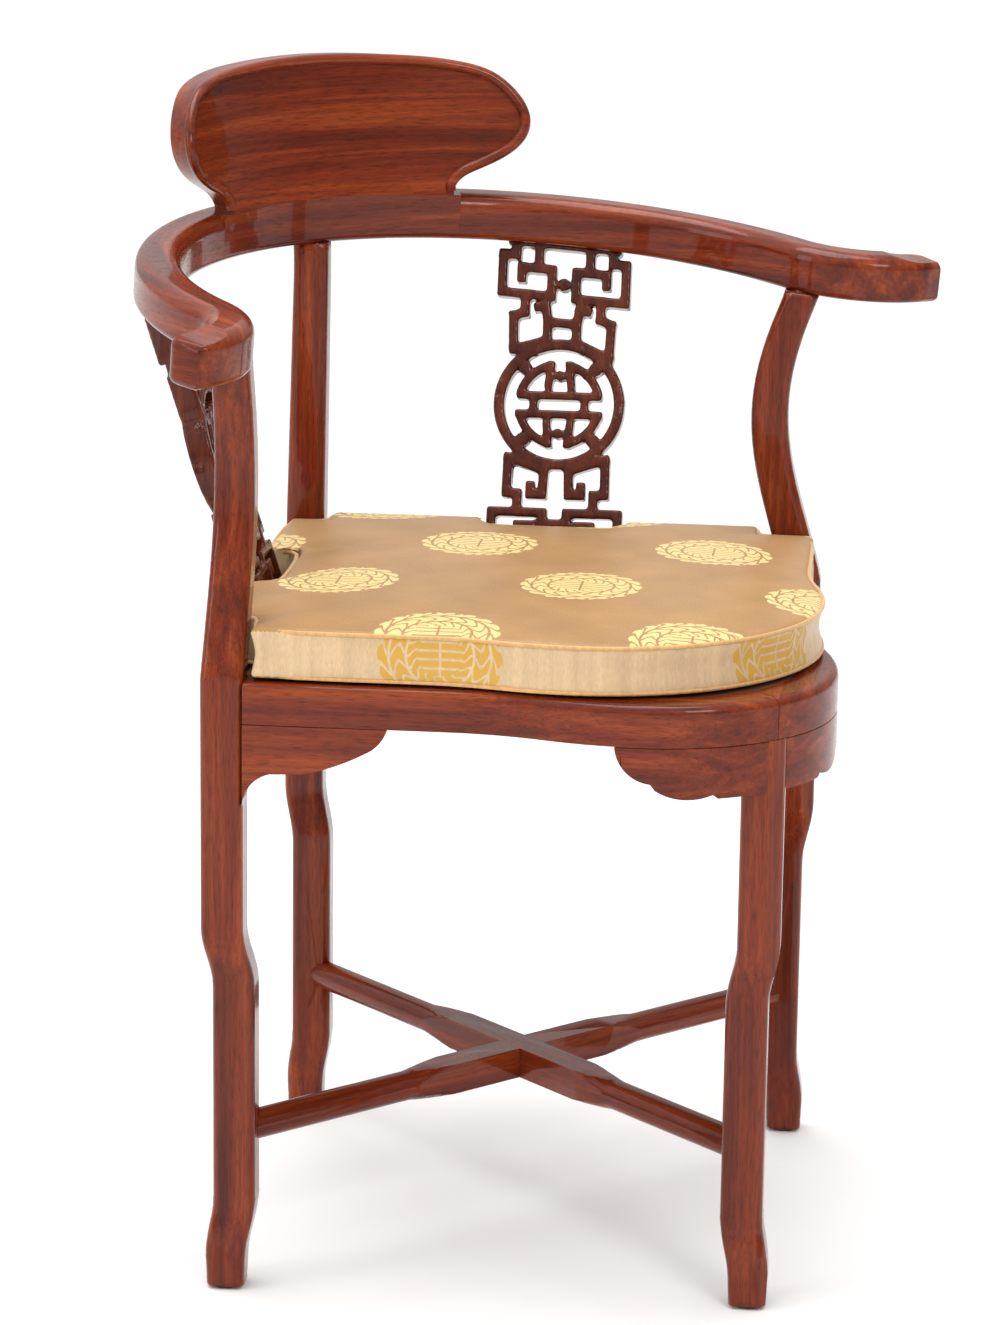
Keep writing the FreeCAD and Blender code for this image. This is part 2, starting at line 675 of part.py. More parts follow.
def front_bracket_face():
    """Cusped outline of the front leg's bracket: X from its free tip towards the leg."""
    long, drop = size("front_bracket_length"), size("front_bracket_drop")
    p0 = Vector(0, 0, 0)
    p1 = Vector(long * 0.23, -drop * 0.7, 0)
    p2 = Vector(long * 0.26, -drop * 0.82, 0)
    p3 = Vector(long * 0.62, -drop * 0.92, 0)
    p4 = Vector(long * 0.65, -drop, 0)
    p5 = Vector(long, -drop, 0)
    dip = Vector(long * 0.08, -drop * 0.5, 0)
    belly = Vector(long * 0.45, -drop, 0)
    edges = [Part.Arc(p0, dip, p1).toShape()] + lines([p1, p2])
    edges += [Part.Arc(p2, belly, p3).toShape()] + lines([p3, p4, p5, Vector(long, 0, 0), p0])
    return face_of(edges)


def front_left_bracket():
    """It follows the rail's curve and laps over the front leg's face."""
    reach = FRONT_REACH + LEG_HALF - size("leg_round")
    outer, start, _ = front_edge(0, -LEG_INNER, seat_plan())
    spot = Vector(reach - size("front_bracket_length"), -SEAT_HALF + SPARE, RAIL_UNDER)
    profile = extrude("front_bracket_profile", front_bracket_face(), "Sizes.leg_reach",
                      SEAT.multiply(Placement(spot, Rotation(Vector(1, 0, 0), 90))))
    inner, inner_start, inner_end = front_edge(size("bracket_thickness"), -LEG_INNER, seat_plan())
    _, _, end = front_edge(0, -LEG_INNER, seat_plan())
    plan = face_of(outer + inner + lines([start, inner_start]) + lines([end, inner_end]))
    plan.translate(Vector(0, 0, RAIL_UNDER - size("front_bracket_drop")))
    band = extrude("front_bracket_band", plan, "Sizes.front_bracket_drop")
    blank = common("front_bracket_blank", profile, band)
    room = leg_room("front_bracket_room", "front", CLEAR, RAIL_UNDER - SPARE, SPARE)
    return cut("front_left_bracket_piece", blank, [room])


for label, leg, along_x in (
    ("left_leg_front_bracket", "left", True),
    ("left_leg_back_bracket", "left", False),
    ("back_leg_left_bracket", "back", False),
):
    made = node(plain_bracket(label + "_piece", leg, along_x), label)
    words = label.split("_")
    swapped = {"left": "right", "right": "left"}
    mirrored(made, "_".join(swapped.get(word, word) for word in words))
made = node(front_left_bracket(), "front_leg_left_bracket")
mirrored(made, "front_leg_right_bracket")


# Cross stretchers, half lapped in the middle
def stretcher(name, first, second, lap_above):
    """Round at the legs, square in the middle, with a lamb's tongue between."""
    insets = leg_inset(size("stretcher_height"))
    ends = []
    for leg in (first, second):
        inward = Vector(-LEGS[leg][0], -LEGS[leg][1], 0) * DIAGONAL
        ends.append(SEAT.multVec(leg_centre(leg) + inward * insets))
    axis = (ends[1] - ends[0]).normalize()
    turn = Rotation(Vector(1, 0, 0), axis)
    level = UP * size("stretcher_height")
    middle = Placement(level, turn)
    round_turn = turn.multiply(Rotation(Vector(0, 1, 0), 90))
    rod = cylinder(name + "_rod", Placement(ends[0] + level, round_turn), "Sizes.stretcher_radius", "Sizes.leg_reach")
    rod.setExpression("Height", None)
    rod.Height = (ends[1] - ends[0]).Length
    half = size("stretcher_block") / 2
    run = size("stretcher_block_half") + size("stretcher_taper")
    corner = middle.multiply(Placement(Vector(-run, -half, -half), Rotation()))
    blank = box(name + "_block", corner, "2 * Sizes.stretcher_block_half + 2 * Sizes.stretcher_taper",
                "Sizes.stretcher_block", "Sizes.stretcher_block")
    fat = half / DIAGONAL
    spindle = [cylinder(name + "_belly", middle.multiply(Placement(Vector(-size("stretcher_block_half"), 0, 0),
                        Rotation(Vector(0, 1, 0), 90))), "Sizes.stretcher_block", "2 * Sizes.stretcher_block_half")]
    for sign in (-1, 1):
        cone = doc.addObject("Part::Cone", f"{name}_cone_{sign + 1}")
        cone.Radius1 = fat
        bind(cone, Radius2="Sizes.stretcher_radius", Height="Sizes.stretcher_taper")
        base = Vector(sign * size("stretcher_block_half"), 0, 0)
        cone.Placement = middle.multiply(Placement(base, Rotation(Vector(0, 1, 0), 90 * sign)))
        spindle.append(cone)
    block = common(name + "_square", blank, fuse(name + "_spindle", spindle))
    bar = fuse(name + "_bar", [rod, block])
    rooms = []
    for leg in (first, second):
        room = leg_room(f"{name}_room_{leg}", leg, CLEAR, size("stretcher_height") - SPARE, 2 * SPARE)
        inward = Vector(-LEGS[leg][0], -LEGS[leg][1], 0) * DIAGONAL
        shift = SEAT.Rotation.multVec(inward * insets)
        room.Placement = Placement(shift, Rotation()).multiply(room.Placement)
        rooms.append(room)
    lap = doc.addObject("Part::Box", name + "_lap")
    bind(lap, Length="Sizes.stretcher_block + 2 * Sizes.clearance")
    bind(lap, Width="2 * Sizes.stretcher_block", Height="Sizes.stretcher_block")
    drop = CLEAR if lap_above else -size("stretcher_block") + CLEAR
    spot = Vector(-half - CLEAR, -size("stretcher_block"), drop if not lap_above else -CLEAR)
    lap.Placement = middle.multiply(Placement(spot, Rotation()))
    trimmed = cut(name + "_trimmed", bar, rooms + [lap])
    tenons = [stretcher_tenon(f"{name}_tenon_{leg}", leg, 0) for leg in (first, second)]
    return fuse(name, [trimmed] + tenons)


node(stretcher("side_stretcher_piece", "left", "right", True), "side_stretcher")
node(stretcher("long_stretcher_piece", "front", "back", False), "long_stretcher")


# Arm rail: two arms and the yoke between them, in one tilted plane
ARM_IN = size("arm_radius") - size("arm_width") / 2
ARM_OUT = size("arm_radius") + size("arm_width") / 2


def near_height(edge, height):
    """Whether a whole edge lies at a height above the arm rail's underside."""
    lift = TILT.inverse()
    return all(abs(lift.multVec(v.Point).z - height) < 0.01 for v in edge.Vertexes)


def arm_face():
    """Plan of the right arm: a quarter of the circle, then the out-turned hand hold."""
    lead, joint = size("hand_lead"), 90 - size("yoke_half_angle")
    hub = polar(size("arm_radius") + size("hand_radius"), lead)
    half = size("arm_width") / 2
    last = HALF_TURN + lead + size("hand_turn")
    along = polar(1, last + 90)
    sides = []
    for ring, bend in ((ARM_OUT, size("hand_radius") - half), (ARM_IN, size("hand_radius") + half)):
        a, b = polar(ring, joint), polar(ring, lead)
        c = hub + polar(bend, last)
        sides.append(([arc(Vector(), a, b), arc(hub, b, c)], a, c, c + along * size("hand_run")))
    (outer, a0, c0, d0), (inner, a1, c1, d1) = sides
    edges = outer + inner + lines([a0, a1]) + lines([c0, d0, d1, c1])
    return face_of(edges)


def right_arm():
    blank = extrude("right_arm_blank", arm_face(), "Sizes.arm_thickness", TILT)
    end = polar(size("arm_radius") + size("hand_radius"), size("hand_lead"))
    far = (end.x + size("hand_run") * 0.3)

    def hand_corner(edge):
        """The two upright edges at the hand hold's end."""
        tops = [TILT.inverse().multVec(v.Point) for v in edge.Vertexes]
        upright = len(tops) == 2 and abs(tops[0].x - tops[1].x) + abs(tops[0].y - tops[1].y) < 0.01
        return upright and tops[0].x > far

    def joint_edge(edge):
        """Edges of the flat joint with the yoke."""
        middle = TILT.inverse().multVec(edge.CenterOfMass)
        return abs(math.degrees(math.atan2(middle.y, middle.x)) - 90 + size("yoke_half_angle")) < 0.05

    cornered = fillet("right_arm_cornered", blank, size("hand_corner"), hand_corner)
    topped = fillet("right_arm_topped", cornered, size("arm_top_round"),
                    lambda edge: near_height(edge, size("arm_thickness")) and not joint_edge(edge))
    rounded = fillet("right_arm_rounded", topped, size("arm_under_round"),
                     lambda edge: near_height(edge, 0) and not joint_edge(edge))
    bend = size("hand_radius")
    hub = polar(size("arm_radius") + bend, size("hand_lead"))
    last = HALF_TURN + size("hand_lead") + size("hand_turn")
    spot = hub + polar(bend, last) + polar(size("hand_run") * 0.4, last + 90)
    spot.z = size("arm_thickness") + size("hand_dish_radius") - size("hand_dish")
    across = Rotation(UP, polar(1, last))
    dish = cylinder("right_arm_dish", TILT.multiply(Placement(spot - polar(2 * size("arm_width"), last), across)),
                    "Sizes.hand_dish_radius", "4 * Sizes.arm_width")
    rooms = [dish, post_tenon("right_arm_mortise", "right", CLEAR),
             splat_tenon("right_arm_splat_mortise", True, CLEAR, size("splat_thickness"))]
    rooms += rail_dowels("right_arm_dowel_hole", 1, CLEAR)
    return cut("right_arm_piece", rounded, rooms)


def rail_dowels(name, side, slack):
    """Two dowels across the joint between the yoke and one arm."""
    made = []
    turn = 90 - side * size("yoke_half_angle")
    along = polar(1, turn + 90)
    length = "2 * Sizes.rail_dowel_half"
    radius = "Sizes.rail_dowel_radius"
    if slack:
        length += " + 2 * Sizes.clearance"
        radius += " + Sizes.clearance"
    for step in (-1, 1):
        spot = polar(size("arm_radius") + step * size("arm_width") / 5, turn, size("arm_thickness") / 2)
        foot = spot - along * (size("rail_dowel_half") + slack)
        place = TILT.multiply(Placement(foot, Rotation(UP, along)))
        made.append(cylinder(f"{name}_{step + 1}", place, radius, length))
    return made


def yoke():
    half = size("yoke_half_angle")
    a, b = polar(ARM_OUT, 90 - half), polar(ARM_OUT, 90 + half)
    c, d = polar(ARM_IN, 90 + half), polar(ARM_IN, 90 - half)
    plan = face_of([arc(Vector(), a, b), arc(Vector(), c, d)] + lines([b, c]) + lines([d, a]))
    blank = extrude("yoke_blank", plan, "Sizes.arm_thickness", TILT)

    def on_ring(edge, radius):
        return all(abs(math.hypot(p.x, p.y) - radius) < 0.01
                   for p in (TILT.inverse().multVec(v.Point) for v in edge.Vertexes))

    topped = fillet("yoke_topped", blank, size("arm_top_round"),
                    lambda edge: near_height(edge, size("arm_thickness")) and on_ring(edge, ARM_OUT))
    rounded = fillet("yoke_rounded", topped, size("arm_under_round"),
                     lambda edge: near_height(edge, 0) and (on_ring(edge, ARM_OUT) or on_ring(edge, ARM_IN)))
    rooms = [post_tenon("yoke_mortise", "back", CLEAR)]
    rooms += rail_dowels("yoke_dowel_hole_right", 1, CLEAR) + rail_dowels("yoke_dowel_hole_left", -1, CLEAR)
    rooms += crest_dowels("yoke_crest_hole", CLEAR)
    return cut("yoke_piece", rounded, rooms)


def crest_foot(degrees):
    """Middle of the crest's foot on the yoke's top, at an angle from the back."""
    return TILT.multVec(polar(ARM_IN + size("crest_thickness") / 2, 90 - degrees, size("arm_thickness")))


def crest_dowels(name, slack):
    made = []
    length = "2 * Sizes.crest_dowel_half"
    radius = "Sizes.crest_dowel_radius"
    if slack:
        length += " + 2 * Sizes.clearance"
        radius += " + Sizes.clearance"
    for step in (-1, 0, 1):
        foot = crest_foot(step * size("crest_dowel_spread")) - UP * (size("crest_dowel_half") + slack)
        made.append(cylinder(f"{name}_{step + 1}", Placement(foot, Rotation()), radius, length))
    return made


def crest_face():
    """Front outline of the crest: a narrow foot, hollow shoulders, round ears and a low arched top."""
    foot = TILT.multVec(polar(ARM_IN, 90, size("arm_thickness"))).z
    low = foot - SPARE / 2
    base, wide = size("crest_half_base"), size("crest_half_width")
    tall, neck, ear = size("crest_height"), size("crest_shoulder"), size("crest_ear")
    flare, brow = wide - base, tall - ear
    points = [(base, low), (base, foot + neck * 0.15), (base + flare * 0.17, foot + neck * 0.7),
              (base + flare * 0.37, foot + neck), (base + flare * 0.67, foot + neck + (ear - neck) * 0.25),
              (base + flare * 0.95, foot + neck + (ear - neck) * 0.71), (wide, foot + ear),
              (wide * 0.948, foot + ear + brow * 0.46), (wide * 0.875, foot + ear + brow * 0.68),
              (wide * 0.755, foot + ear + brow * 0.82), (wide * 0.465, foot + tall - brow * 0.06)]
    side = [Vector(x, 0, z) for x, z in points]
    left = [Vector(-p.x, 0, p.z) for p in side]
    curve = Part.BSplineCurve()
    curve.interpolate(side[1:] + [Vector(0, 0, foot + tall)] + left[:0:-1])
    return face_of([curve.toShape()] + lines([side[1], side[0], left[0], left[1]]))


def crest():
    """A curved panel that leans back, standing on the yoke."""
    edge = TILT.multVec(polar(ARM_IN, 90, size("arm_thickness")))
    slope = math.tan(math.radians(size("crest_lean")))
    below, above = SPARE, size("crest_height") + SPARE
    shells = []
    for name, extra in (("crest_outer", size("crest_thickness")), ("crest_inner", 0)):
        cone = doc.addObject("Part::Cone", name)
        cone.Radius1 = edge.y + extra - below * slope
        cone.Radius2 = edge.y + extra + above * slope
        cone.Height = below + above
        cone.Placement = Placement(Vector(0, 0, edge.z - below), Rotation())
        shells.append(cone)
    shell = cut("crest_shell", shells[0], [shells[1]])
    outline = doc.addObject("Part::Feature", "crest_outline")
    outline.Shape = crest_face()
    panel = doc.addObject("Part::Extrusion", "crest_panel")
    panel.Base = outline
    panel.Dir = Vector(0, 1, 0)
    panel.DirMode = "Custom"
    panel.Solid = True
    bind(panel, LengthFwd="2 * Sizes.arm_radius")
    curved = common("crest_curved", panel, shell)
    under = doc.addObject("Part::Box", "crest_under")
    wide = 4 * size("arm_radius")
    under.Length = under.Width = wide
    under.Height = size("arm_height")
    spot = Vector(-wide / 2, -wide / 2, size("arm_thickness") - size("arm_height"))
    under.Placement = TILT.multiply(Placement(spot, Rotation()))
    standing = cut("crest_standing", curved, [under])
    return cut("crest_piece", standing, crest_dowels("crest_hole", CLEAR))


right = node(right_arm(), "right_arm")
mirrored(right, "left_arm")
node(yoke(), "yoke")
node(crest(), "crest")
dowels = rail_dowels("rail_dowel_right", 1, 0) + rail_dowels("rail_dowel_left", -1, 0)
group = doc.addObject("Part::Compound", "rail_dowel_group")
group.Links = dowels
node(group, "rail_dowels")
group = doc.addObject("Part::Compound", "crest_dowel_group")
group.Links = crest_dowels("crest_dowel", 0)
node(group, "crest_dowels")


# Carved splats: an openwork fret about a round longevity roundel
def roundel_height():
    return splat_length() - size("roundel_drop")


def stroke(points, half):
    """Flat bars along a run of points, square at the corners."""
    bars = []
    for p, q in zip(points, points[1:]):
        along = (q - p).normalize()
        side = Vector(-along.y, along.x, 0) * half
        p1, q1 = p - along * half, q + along * half
        bars.append(Part.Face(Part.makePolygon([p1 - side, q1 - side, q1 + side, p1 + side, p1 - side])))
    return bars


def disc(x, y, radius):
    return Part.Face(Part.Wire(Part.makeCircle(radius, Vector(x, y, 0))))


def fret_strokes():
    """Centre lines of the fret's right half: X from its middle, Y up from the seat rail.

    The head slopes with the arm rail, so its points are sheared; the foot is level.
    Head points are measured down from the arm rail, the others from the roundel's middle.
    """
    top = splat_length()
    sole = size("splat_stroke") / 2
    head = [
        [(0, -sole), (45, -sole)],
        [(0, 4), (45, 4)],
        [(22, 4), (22, 26)],
        [(36.5, 35.5), (36.5, 26), (10.5, 26), (10.5, 49), (53, 49), (53, 16), (41.5, 16), (41.5, 4)],
        [(32.5, 49), (32.5, 65), (42, 68.5), (41, 97.5), (12.5, 87), (12.5, 71), (14.5, 57.5), (21, 59)],
        [(0, 71), (12.5, 71)],
    ]
    head = [[(x, top - y) for x, y in run] for run in head]
    middle = roundel_height()
    foot = [
        [(21.6, -70), (21.6, -77.5), (11.3, -77.5), (10.5, -56.8), (41.5, -46.4), (42, -76.8),
         (32.5, -76.8), (32.5, -93)],
        [(10.3, -102.5), (10.3, -93), (54, -93), (54, sole - middle)],
        [(0, -102.5), (10.3, -102.5)],
        [(31, -110), (31, -104), (20, -104), (20, sole - middle)],
        [(0, sole - middle), (size("splat_half_base"), sole - middle)],
        [(0, -sole - middle), (size("splat_half_base"), -sole - middle)],
    ]
    foot = [[(x, middle + y) for x, y in run] for run in foot]
    sign = [
        [(0, middle + 7.5), (33, middle + 7.5)],
        [(0, middle - 8.5), (34, middle - 8.5)],
        [(21.8, middle - 8.5), (21.8, middle + 7.5)],
        [(7.8, middle + 34), (9.8, middle + 16)],
        [(8.2, middle - 34), (10, middle - 17)],
    ]
    return head, foot, sign


def arc_band(radius, half, first, last, y):
    """Part of a flat ring about the roundel's middle."""
    spot = Vector(0, y, 0)
    a, b = spot + polar(radius + half, first), spot + polar(radius + half, last)
    c, d = spot + polar(radius - half, last), spot + polar(radius - half, first)
    return face_of([arc(spot, a, b), arc(spot, c, d)] + lines([b, c]) + lines([d, a]))


def fret_face():
    half = size("splat_stroke") / 2
    head, foot, sign = fret_strokes()
    shear = -math.tan(math.radians(size("arm_tilt"))) * DIAGONAL
    middle = roundel_height()
    outer = size("roundel_radius")
    inner = outer - size("splat_stroke") - 1
    pieces = [disc(0, middle, outer).cut(disc(0, middle, inner))]
    for side in (-1, 1):
        for run in head:
            pieces += stroke([Vector(side * x, y + shear * side * x, 0) for x, y in run], half)
        for run in foot:
            pieces += stroke([Vector(side * x, y, 0) for x, y in run], half)
        for run in sign:
            pieces += stroke([Vector(side * x, y, 0) for x, y in run], half * 0.85)
        for first, last in ((12, 77), (283, 346)):
            band = arc_band(34.5, half * 0.9, first, last, middle)
            pieces.append(band if side > 0 else band.mirror(Vector(), Vector(1, 0, 0)))
        for x, y in ((30.2, 30.9), (29.9, -30.4)):
            pieces.append(disc(side * x, middle + y, 5.4))
    beads = [(0, splat_length() - 38, 5), (0, middle + 24.5, 4), (0, middle - 25, 4)]
    for x, y, radius in beads:
        pieces.append(disc(x, y, radius))
        pieces += stroke([Vector(-10, y, 0), Vector(10, y, 0)], 1.2)
    bars = [piece.extrude(UP * half).Solids[0] for piece in pieces]
    whole = bars[0].multiFuse(bars[1:]).removeSplitter()
    return max((face for face in whole.Faces if abs(face.CenterOfMass.z) < 0.001), key=lambda face: face.Area)


def right_splat():
    plane = splat_place()
    thick = size("splat_thickness")
    place = plane.multiply(Placement(Vector(0, 0, -thick / 2), Rotation()))
    fret = extrude("right_splat_fret", fret_face(), "Sizes.splat_thickness", place)
    seat = doc.addObject("Part::Box", "right_splat_seat")
    wide = 2 * size("leg_reach")
    seat.Length = seat.Width = wide
    seat.Height = SPARE
    seat.Placement = at(-wide / 2, SPLAT_SEAT - wide / 2, RAIL_TOP - SPARE)
    trimmed = cut("right_splat_trimmed", fret, [arm_space("right_splat_arm_space"), seat])
    tenons = [splat_tenon("right_splat_foot", False, 0, size("splat_stroke")),
              splat_tenon("right_splat_head", True, 0, size("splat_stroke"))]
    return fuse("right_splat_piece", [trimmed] + tenons)


right = node(right_splat(), "right_splat")
mirrored(right, "left_splat")


# Box cushion: notched round the posts and splats, crowned, with drawn-in sides
def cushion_wire(scale, z):
    """The notched outline, drawn towards the cushion's middle, at a height."""
    gap = size("cushion_notch_gap")
    edge = SEAT_HALF - size("cushion_inset")
    post = LEG_INNER - gap
    bowed = LEG_INNER - size("cushion_post_gap")
    wing = size("splat_half_base") + size("splat_stroke") / 2 + gap
    splat = SPLAT_SEAT - size("splat_thickness") / 2 - 2 * gap
    half, p0, _ = front_edge(0, -post, cushion_plan())
    steps = [p0, Vector(-post, -bowed, 0), Vector(-edge, -bowed, 0), Vector(-edge, -wing, 0),
             Vector(-splat, -wing, 0), Vector(-splat, wing, 0), Vector(-edge, wing, 0), Vector(-edge, post, 0),
             Vector(-post, post, 0)]
    half += lines(steps)
    wire = Part.Wire(Part.__sortEdges__(half + mirror_edges(half)))
    shape = Part.Wire([edge_of.copy() for edge_of in wire.OrderedEdges])
    shape.scale(scale)
    shape.translate(Vector(0, 0, z))
    return shape


def cushion_levels(skin):
    """Scale and height of each outline, for the cover's outside or, with a skin, for the foam inside."""
    base = RAIL_TOP + size("cushion_gap")
    tall = size("cushion_thickness")
    reach = SEAT_HALF - size("cushion_inset")
    draw, crown = size("cushion_draw"), size("cushion_crown")
    levels = [(draw, 0), (0, 4), (draw, tall / 2), (0, tall - 4), (draw, tall), (reach * 0.13, tall + crown * 0.6),
              (reach * 0.4, tall + crown)]
    made = []
    for k, (inset, z) in enumerate(levels):
        up = skin if k == 0 else -skin if k >= len(levels) - 3 else 0
        made.append(((reach - inset - skin) / reach, base + z + up))
    return made


def cushion_form(name, skin):
    sections = []
    for k, (scale, z) in enumerate(cushion_levels(skin)):
        section = doc.addObject("Part::Feature", f"{name}_section_{k}")
        section.Shape = cushion_wire(scale, z)
        section.Placement = SEAT.multiply(section.Placement)
        sections.append(section)
    form = doc.addObject("Part::Loft", name)
    form.Sections = sections
    form.Solid = True
    form.Ruled = True
    return form


cover = cushion_form("cushion_outside", 0)
hollow_room = cushion_form("cushion_inside", size("cover_thickness"))
doc.recompute()
hollow = doc.addObject("Part::Feature", "cushion_cover_piece")
hollow.Shape = Part.Solid(Part.Compound([cover.Shape.Shells[0], hollow_room.Shape.Shells[0].reversed()]))
node(hollow, "cushion_cover")
node(cushion_form("cushion_foam_piece", size("cover_thickness") + CLEAR), "cushion_foam")

doc.recompute()

# Every object has to be sound before anything is written
for thing in doc.Objects:
    if any(word in thing.State for word in ("Invalid", "Error")):
        raise RuntimeError(f"{thing.Label} failed: {thing.State}")
for piece in nodes:
    if piece.Shape.isNull() or not piece.Shape.isValid() or not piece.Shape.Solids:
        raise RuntimeError(f"{piece.Label} is not a sound solid")

# The origin is under the middle of the whole chair
whole_box = FreeCAD.BoundBox()
for piece in nodes:
    whole_box.add(piece.Shape.optimalBoundingBox(False))
shift = Vector(-whole_box.Center.x, -whole_box.Center.y, 0)

os.makedirs("parts", exist_ok=True)
for piece in nodes:
    shape = piece.Shape.copy()
    shape.translate(shift)
    shape.exportStep(f"parts/{piece.Label}.step")
print(len(nodes), "nodes; box", whole_box)
for piece in nodes:
    print(piece.Label, len(piece.Shape.Solids), round(piece.Shape.Volume / 1000, 1), "cm3")
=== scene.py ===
import math

import bpy
import numpy as np
from mathutils import Matrix, Vector


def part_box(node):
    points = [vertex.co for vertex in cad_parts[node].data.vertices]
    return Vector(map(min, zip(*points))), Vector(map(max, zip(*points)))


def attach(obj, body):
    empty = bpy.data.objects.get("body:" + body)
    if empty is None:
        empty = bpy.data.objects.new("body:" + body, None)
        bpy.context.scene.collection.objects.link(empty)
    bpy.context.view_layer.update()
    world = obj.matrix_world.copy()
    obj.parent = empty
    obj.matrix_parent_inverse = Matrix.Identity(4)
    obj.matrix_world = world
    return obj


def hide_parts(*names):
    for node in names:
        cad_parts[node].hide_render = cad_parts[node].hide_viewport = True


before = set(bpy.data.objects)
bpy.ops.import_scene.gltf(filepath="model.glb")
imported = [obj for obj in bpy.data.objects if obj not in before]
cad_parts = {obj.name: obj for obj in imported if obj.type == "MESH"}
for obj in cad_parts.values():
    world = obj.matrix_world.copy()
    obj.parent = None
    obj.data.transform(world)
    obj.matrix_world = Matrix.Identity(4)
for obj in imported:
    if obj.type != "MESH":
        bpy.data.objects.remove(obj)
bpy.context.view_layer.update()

bl_info = {
    "name": "Corner chair",
    "version": (1, 0, 0),
    "blender": (4, 5, 0),
    "location": "3D View > Sidebar > Chair",
    "description": "Rosewood corner chair with a silk box cushion",
    "category": "Object",
}

# The cushion's seams lie this far from its edges, and its middle rises this much
SEAM = 0.004
CROWN = 0.005
# Centre of the cushion's round front corner, along each side of the seat
CORNER_HUB = 0.062
# The piping's line is drawn in to this share of the foam's edge, so that it clears the bowed posts
PIPING_SHARE = 0.998
# The cover is blown up with this pressure for this many frames, and may sink this far below the foam
PRESSURE = 4
STUFFING_FRAMES = 20
SAG = 0.001

# The brocade: where one medallion lies, how far off the next in its row is, and how far apart the rows are
TOP_MEDALLION, TOP_SPACING = (0.048, -0.07, 0.0), 0.192
BOXING_MEDALLION, BOXING_SPACING = (-0.045, 0.022, 0.0), 0.279
ROW_SPACING = 0.147

# The seat's middle: the overall box is centred on the origin, the seat is not
SEAT_Y = (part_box("left_foot_pad")[0][1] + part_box("left_foot_pad")[1][1]) / 2
# Turns the chair's axes into those along the seat's sides, which lie diagonally
DIAGONAL = math.sqrt(0.5)

# Grain of bent timbers is measured along an arc of about the arm rail's radius
BEND_RADIUS = 0.304
# Each timber takes its grain from another place in the wood
GRAIN_STEP = 0.37
BEAD_GRAIN = 4.1
SPLAT_GRAIN = 9

# Points of the solids closer than this are one point
MERGE = 0.00001
# Faces that bend less than this are one flat face
FLAT = math.radians(0.4)
# Edges that bend more than this are arrises
SHARP = math.radians(40)
# Degrees up to which joinery and round work are shaded smooth
JOINERY_SMOOTH = 32
ROUND_SMOOTH = 60

# The photograph's camera, fitted to the feet, stretchers, knees and posts; the last three are pixels
AZIMUTH, HEIGHT, ROLL = (math.radians(angle) for angle in (-39.575, 13.674, 0.842))
DISTANCE = 3.4234
TARGET_HEIGHT = 0.4608
SENSOR = 36.0
PHOTO_WIDTH, FOCAL_LENGTH, SIDE_SHIFT = 1000, 4248, -27.6

FLOOR_SIZE = 40.0
# The studio's walls and ceiling, and how much brighter its left is than its right
WALL_LIGHT, CEILING_LIGHT = 0.45, 1.35
LEFT_LIGHT, RIGHT_LIGHT = 1.45, 0.6
PICTURE_RIGHT = (0.77, -0.64, 0.0)
# Name, place, aim, width, height and watts
SOFTBOXES = (
    ("left_softbox", (-3.2, 0.6, 1.7), (0, 0, 0.5), 1.0, 2.2, 18),
    ("front_softbox", (-0.6, -3.4, 2.9), (0, 0, 0.5), 1.2, 1.2, 40),
    ("top_softbox", (0.0, 0.3, 3.0), (0, 0, 0.4), 1.6, 1.6, 40),
)


class ChairSizes(bpy.types.PropertyGroup):
    """Sizes that a user may want to change."""

    arris: bpy.props.FloatProperty(
        name="Arris", description="Softened edge of the joinery", default=0.0012, unit="LENGTH")
    carving: bpy.props.FloatProperty(
        name="Carving", description="Mesh size of the carved splats", default=0.0015, unit="LENGTH")
    bead: bpy.props.FloatProperty(
        name="Crest bead", description="Radius of the bead along the crest's edge", default=0.0045, unit="LENGTH")
    piping: bpy.props.FloatProperty(
        name="Piping", description="Radius of the cushion's piping", default=0.0016, unit="LENGTH")
    swelling: bpy.props.FloatProperty(
        name="Swelling", description="Most that the stuffing may push the cover out", default=0.005, unit="LENGTH")
    voxel: bpy.props.FloatProperty(
        name="Cloth grain", description="Mesh size of the stuffed cover", default=0.005, unit="LENGTH")
    medallion: bpy.props.FloatProperty(
        name="Medallion", description="Radius of the woven medallions", default=0.047, unit="LENGTH")


class ChairColours(bpy.types.PropertyGroup):
    """Colours of wood and silk."""

    wood_dark: bpy.props.StringProperty(name="Wood, dark", description="Dark veins", default="#3C140C")
    wood_mid: bpy.props.StringProperty(name="Wood, middle", description="Red brown body", default="#742C13")
    wood_light: bpy.props.StringProperty(name="Wood, light", description="Orange streaks", default="#A54E21")
    plain_wood: bpy.props.StringProperty(name="Plain wood", description="Unpolished inside", default="#7A5138")
    silk: bpy.props.StringProperty(name="Silk", description="Ground of the top", default="#A98050")
    silk_side: bpy.props.StringProperty(name="Silk, boxing", description="Ground of the boxing", default="#CFB18A")
    thread: bpy.props.StringProperty(name="Gold thread", description="Woven medallions", default="#DFC684")
    thread_dark: bpy.props.StringProperty(name="Old gold", description="Medallions on the boxing", default="#C79B45")
    cord: bpy.props.StringProperty(name="Piping", description="Covered cord", default="#CB9C5C")
    felt: bpy.props.StringProperty(name="Felt", description="Pads under the feet", default="#4A3A30")
    floor: bpy.props.StringProperty(name="Floor", description="Pale studio floor", default="#FBFBFA")


def sizes():
    return bpy.context.scene.chair_sizes


def colours():
    return bpy.context.scene.chair_colours


def linear(hex_text):
    """An sRGB hex colour as a linear RGBA value."""
    channels = [int(hex_text[i:i + 2], 16) / 255 for i in (1, 3, 5)]
    return tuple(c / 12.92 if c <= 0.04045 else ((c + 0.055) / 1.055) ** 2.4 for c in channels) + (1.0,)


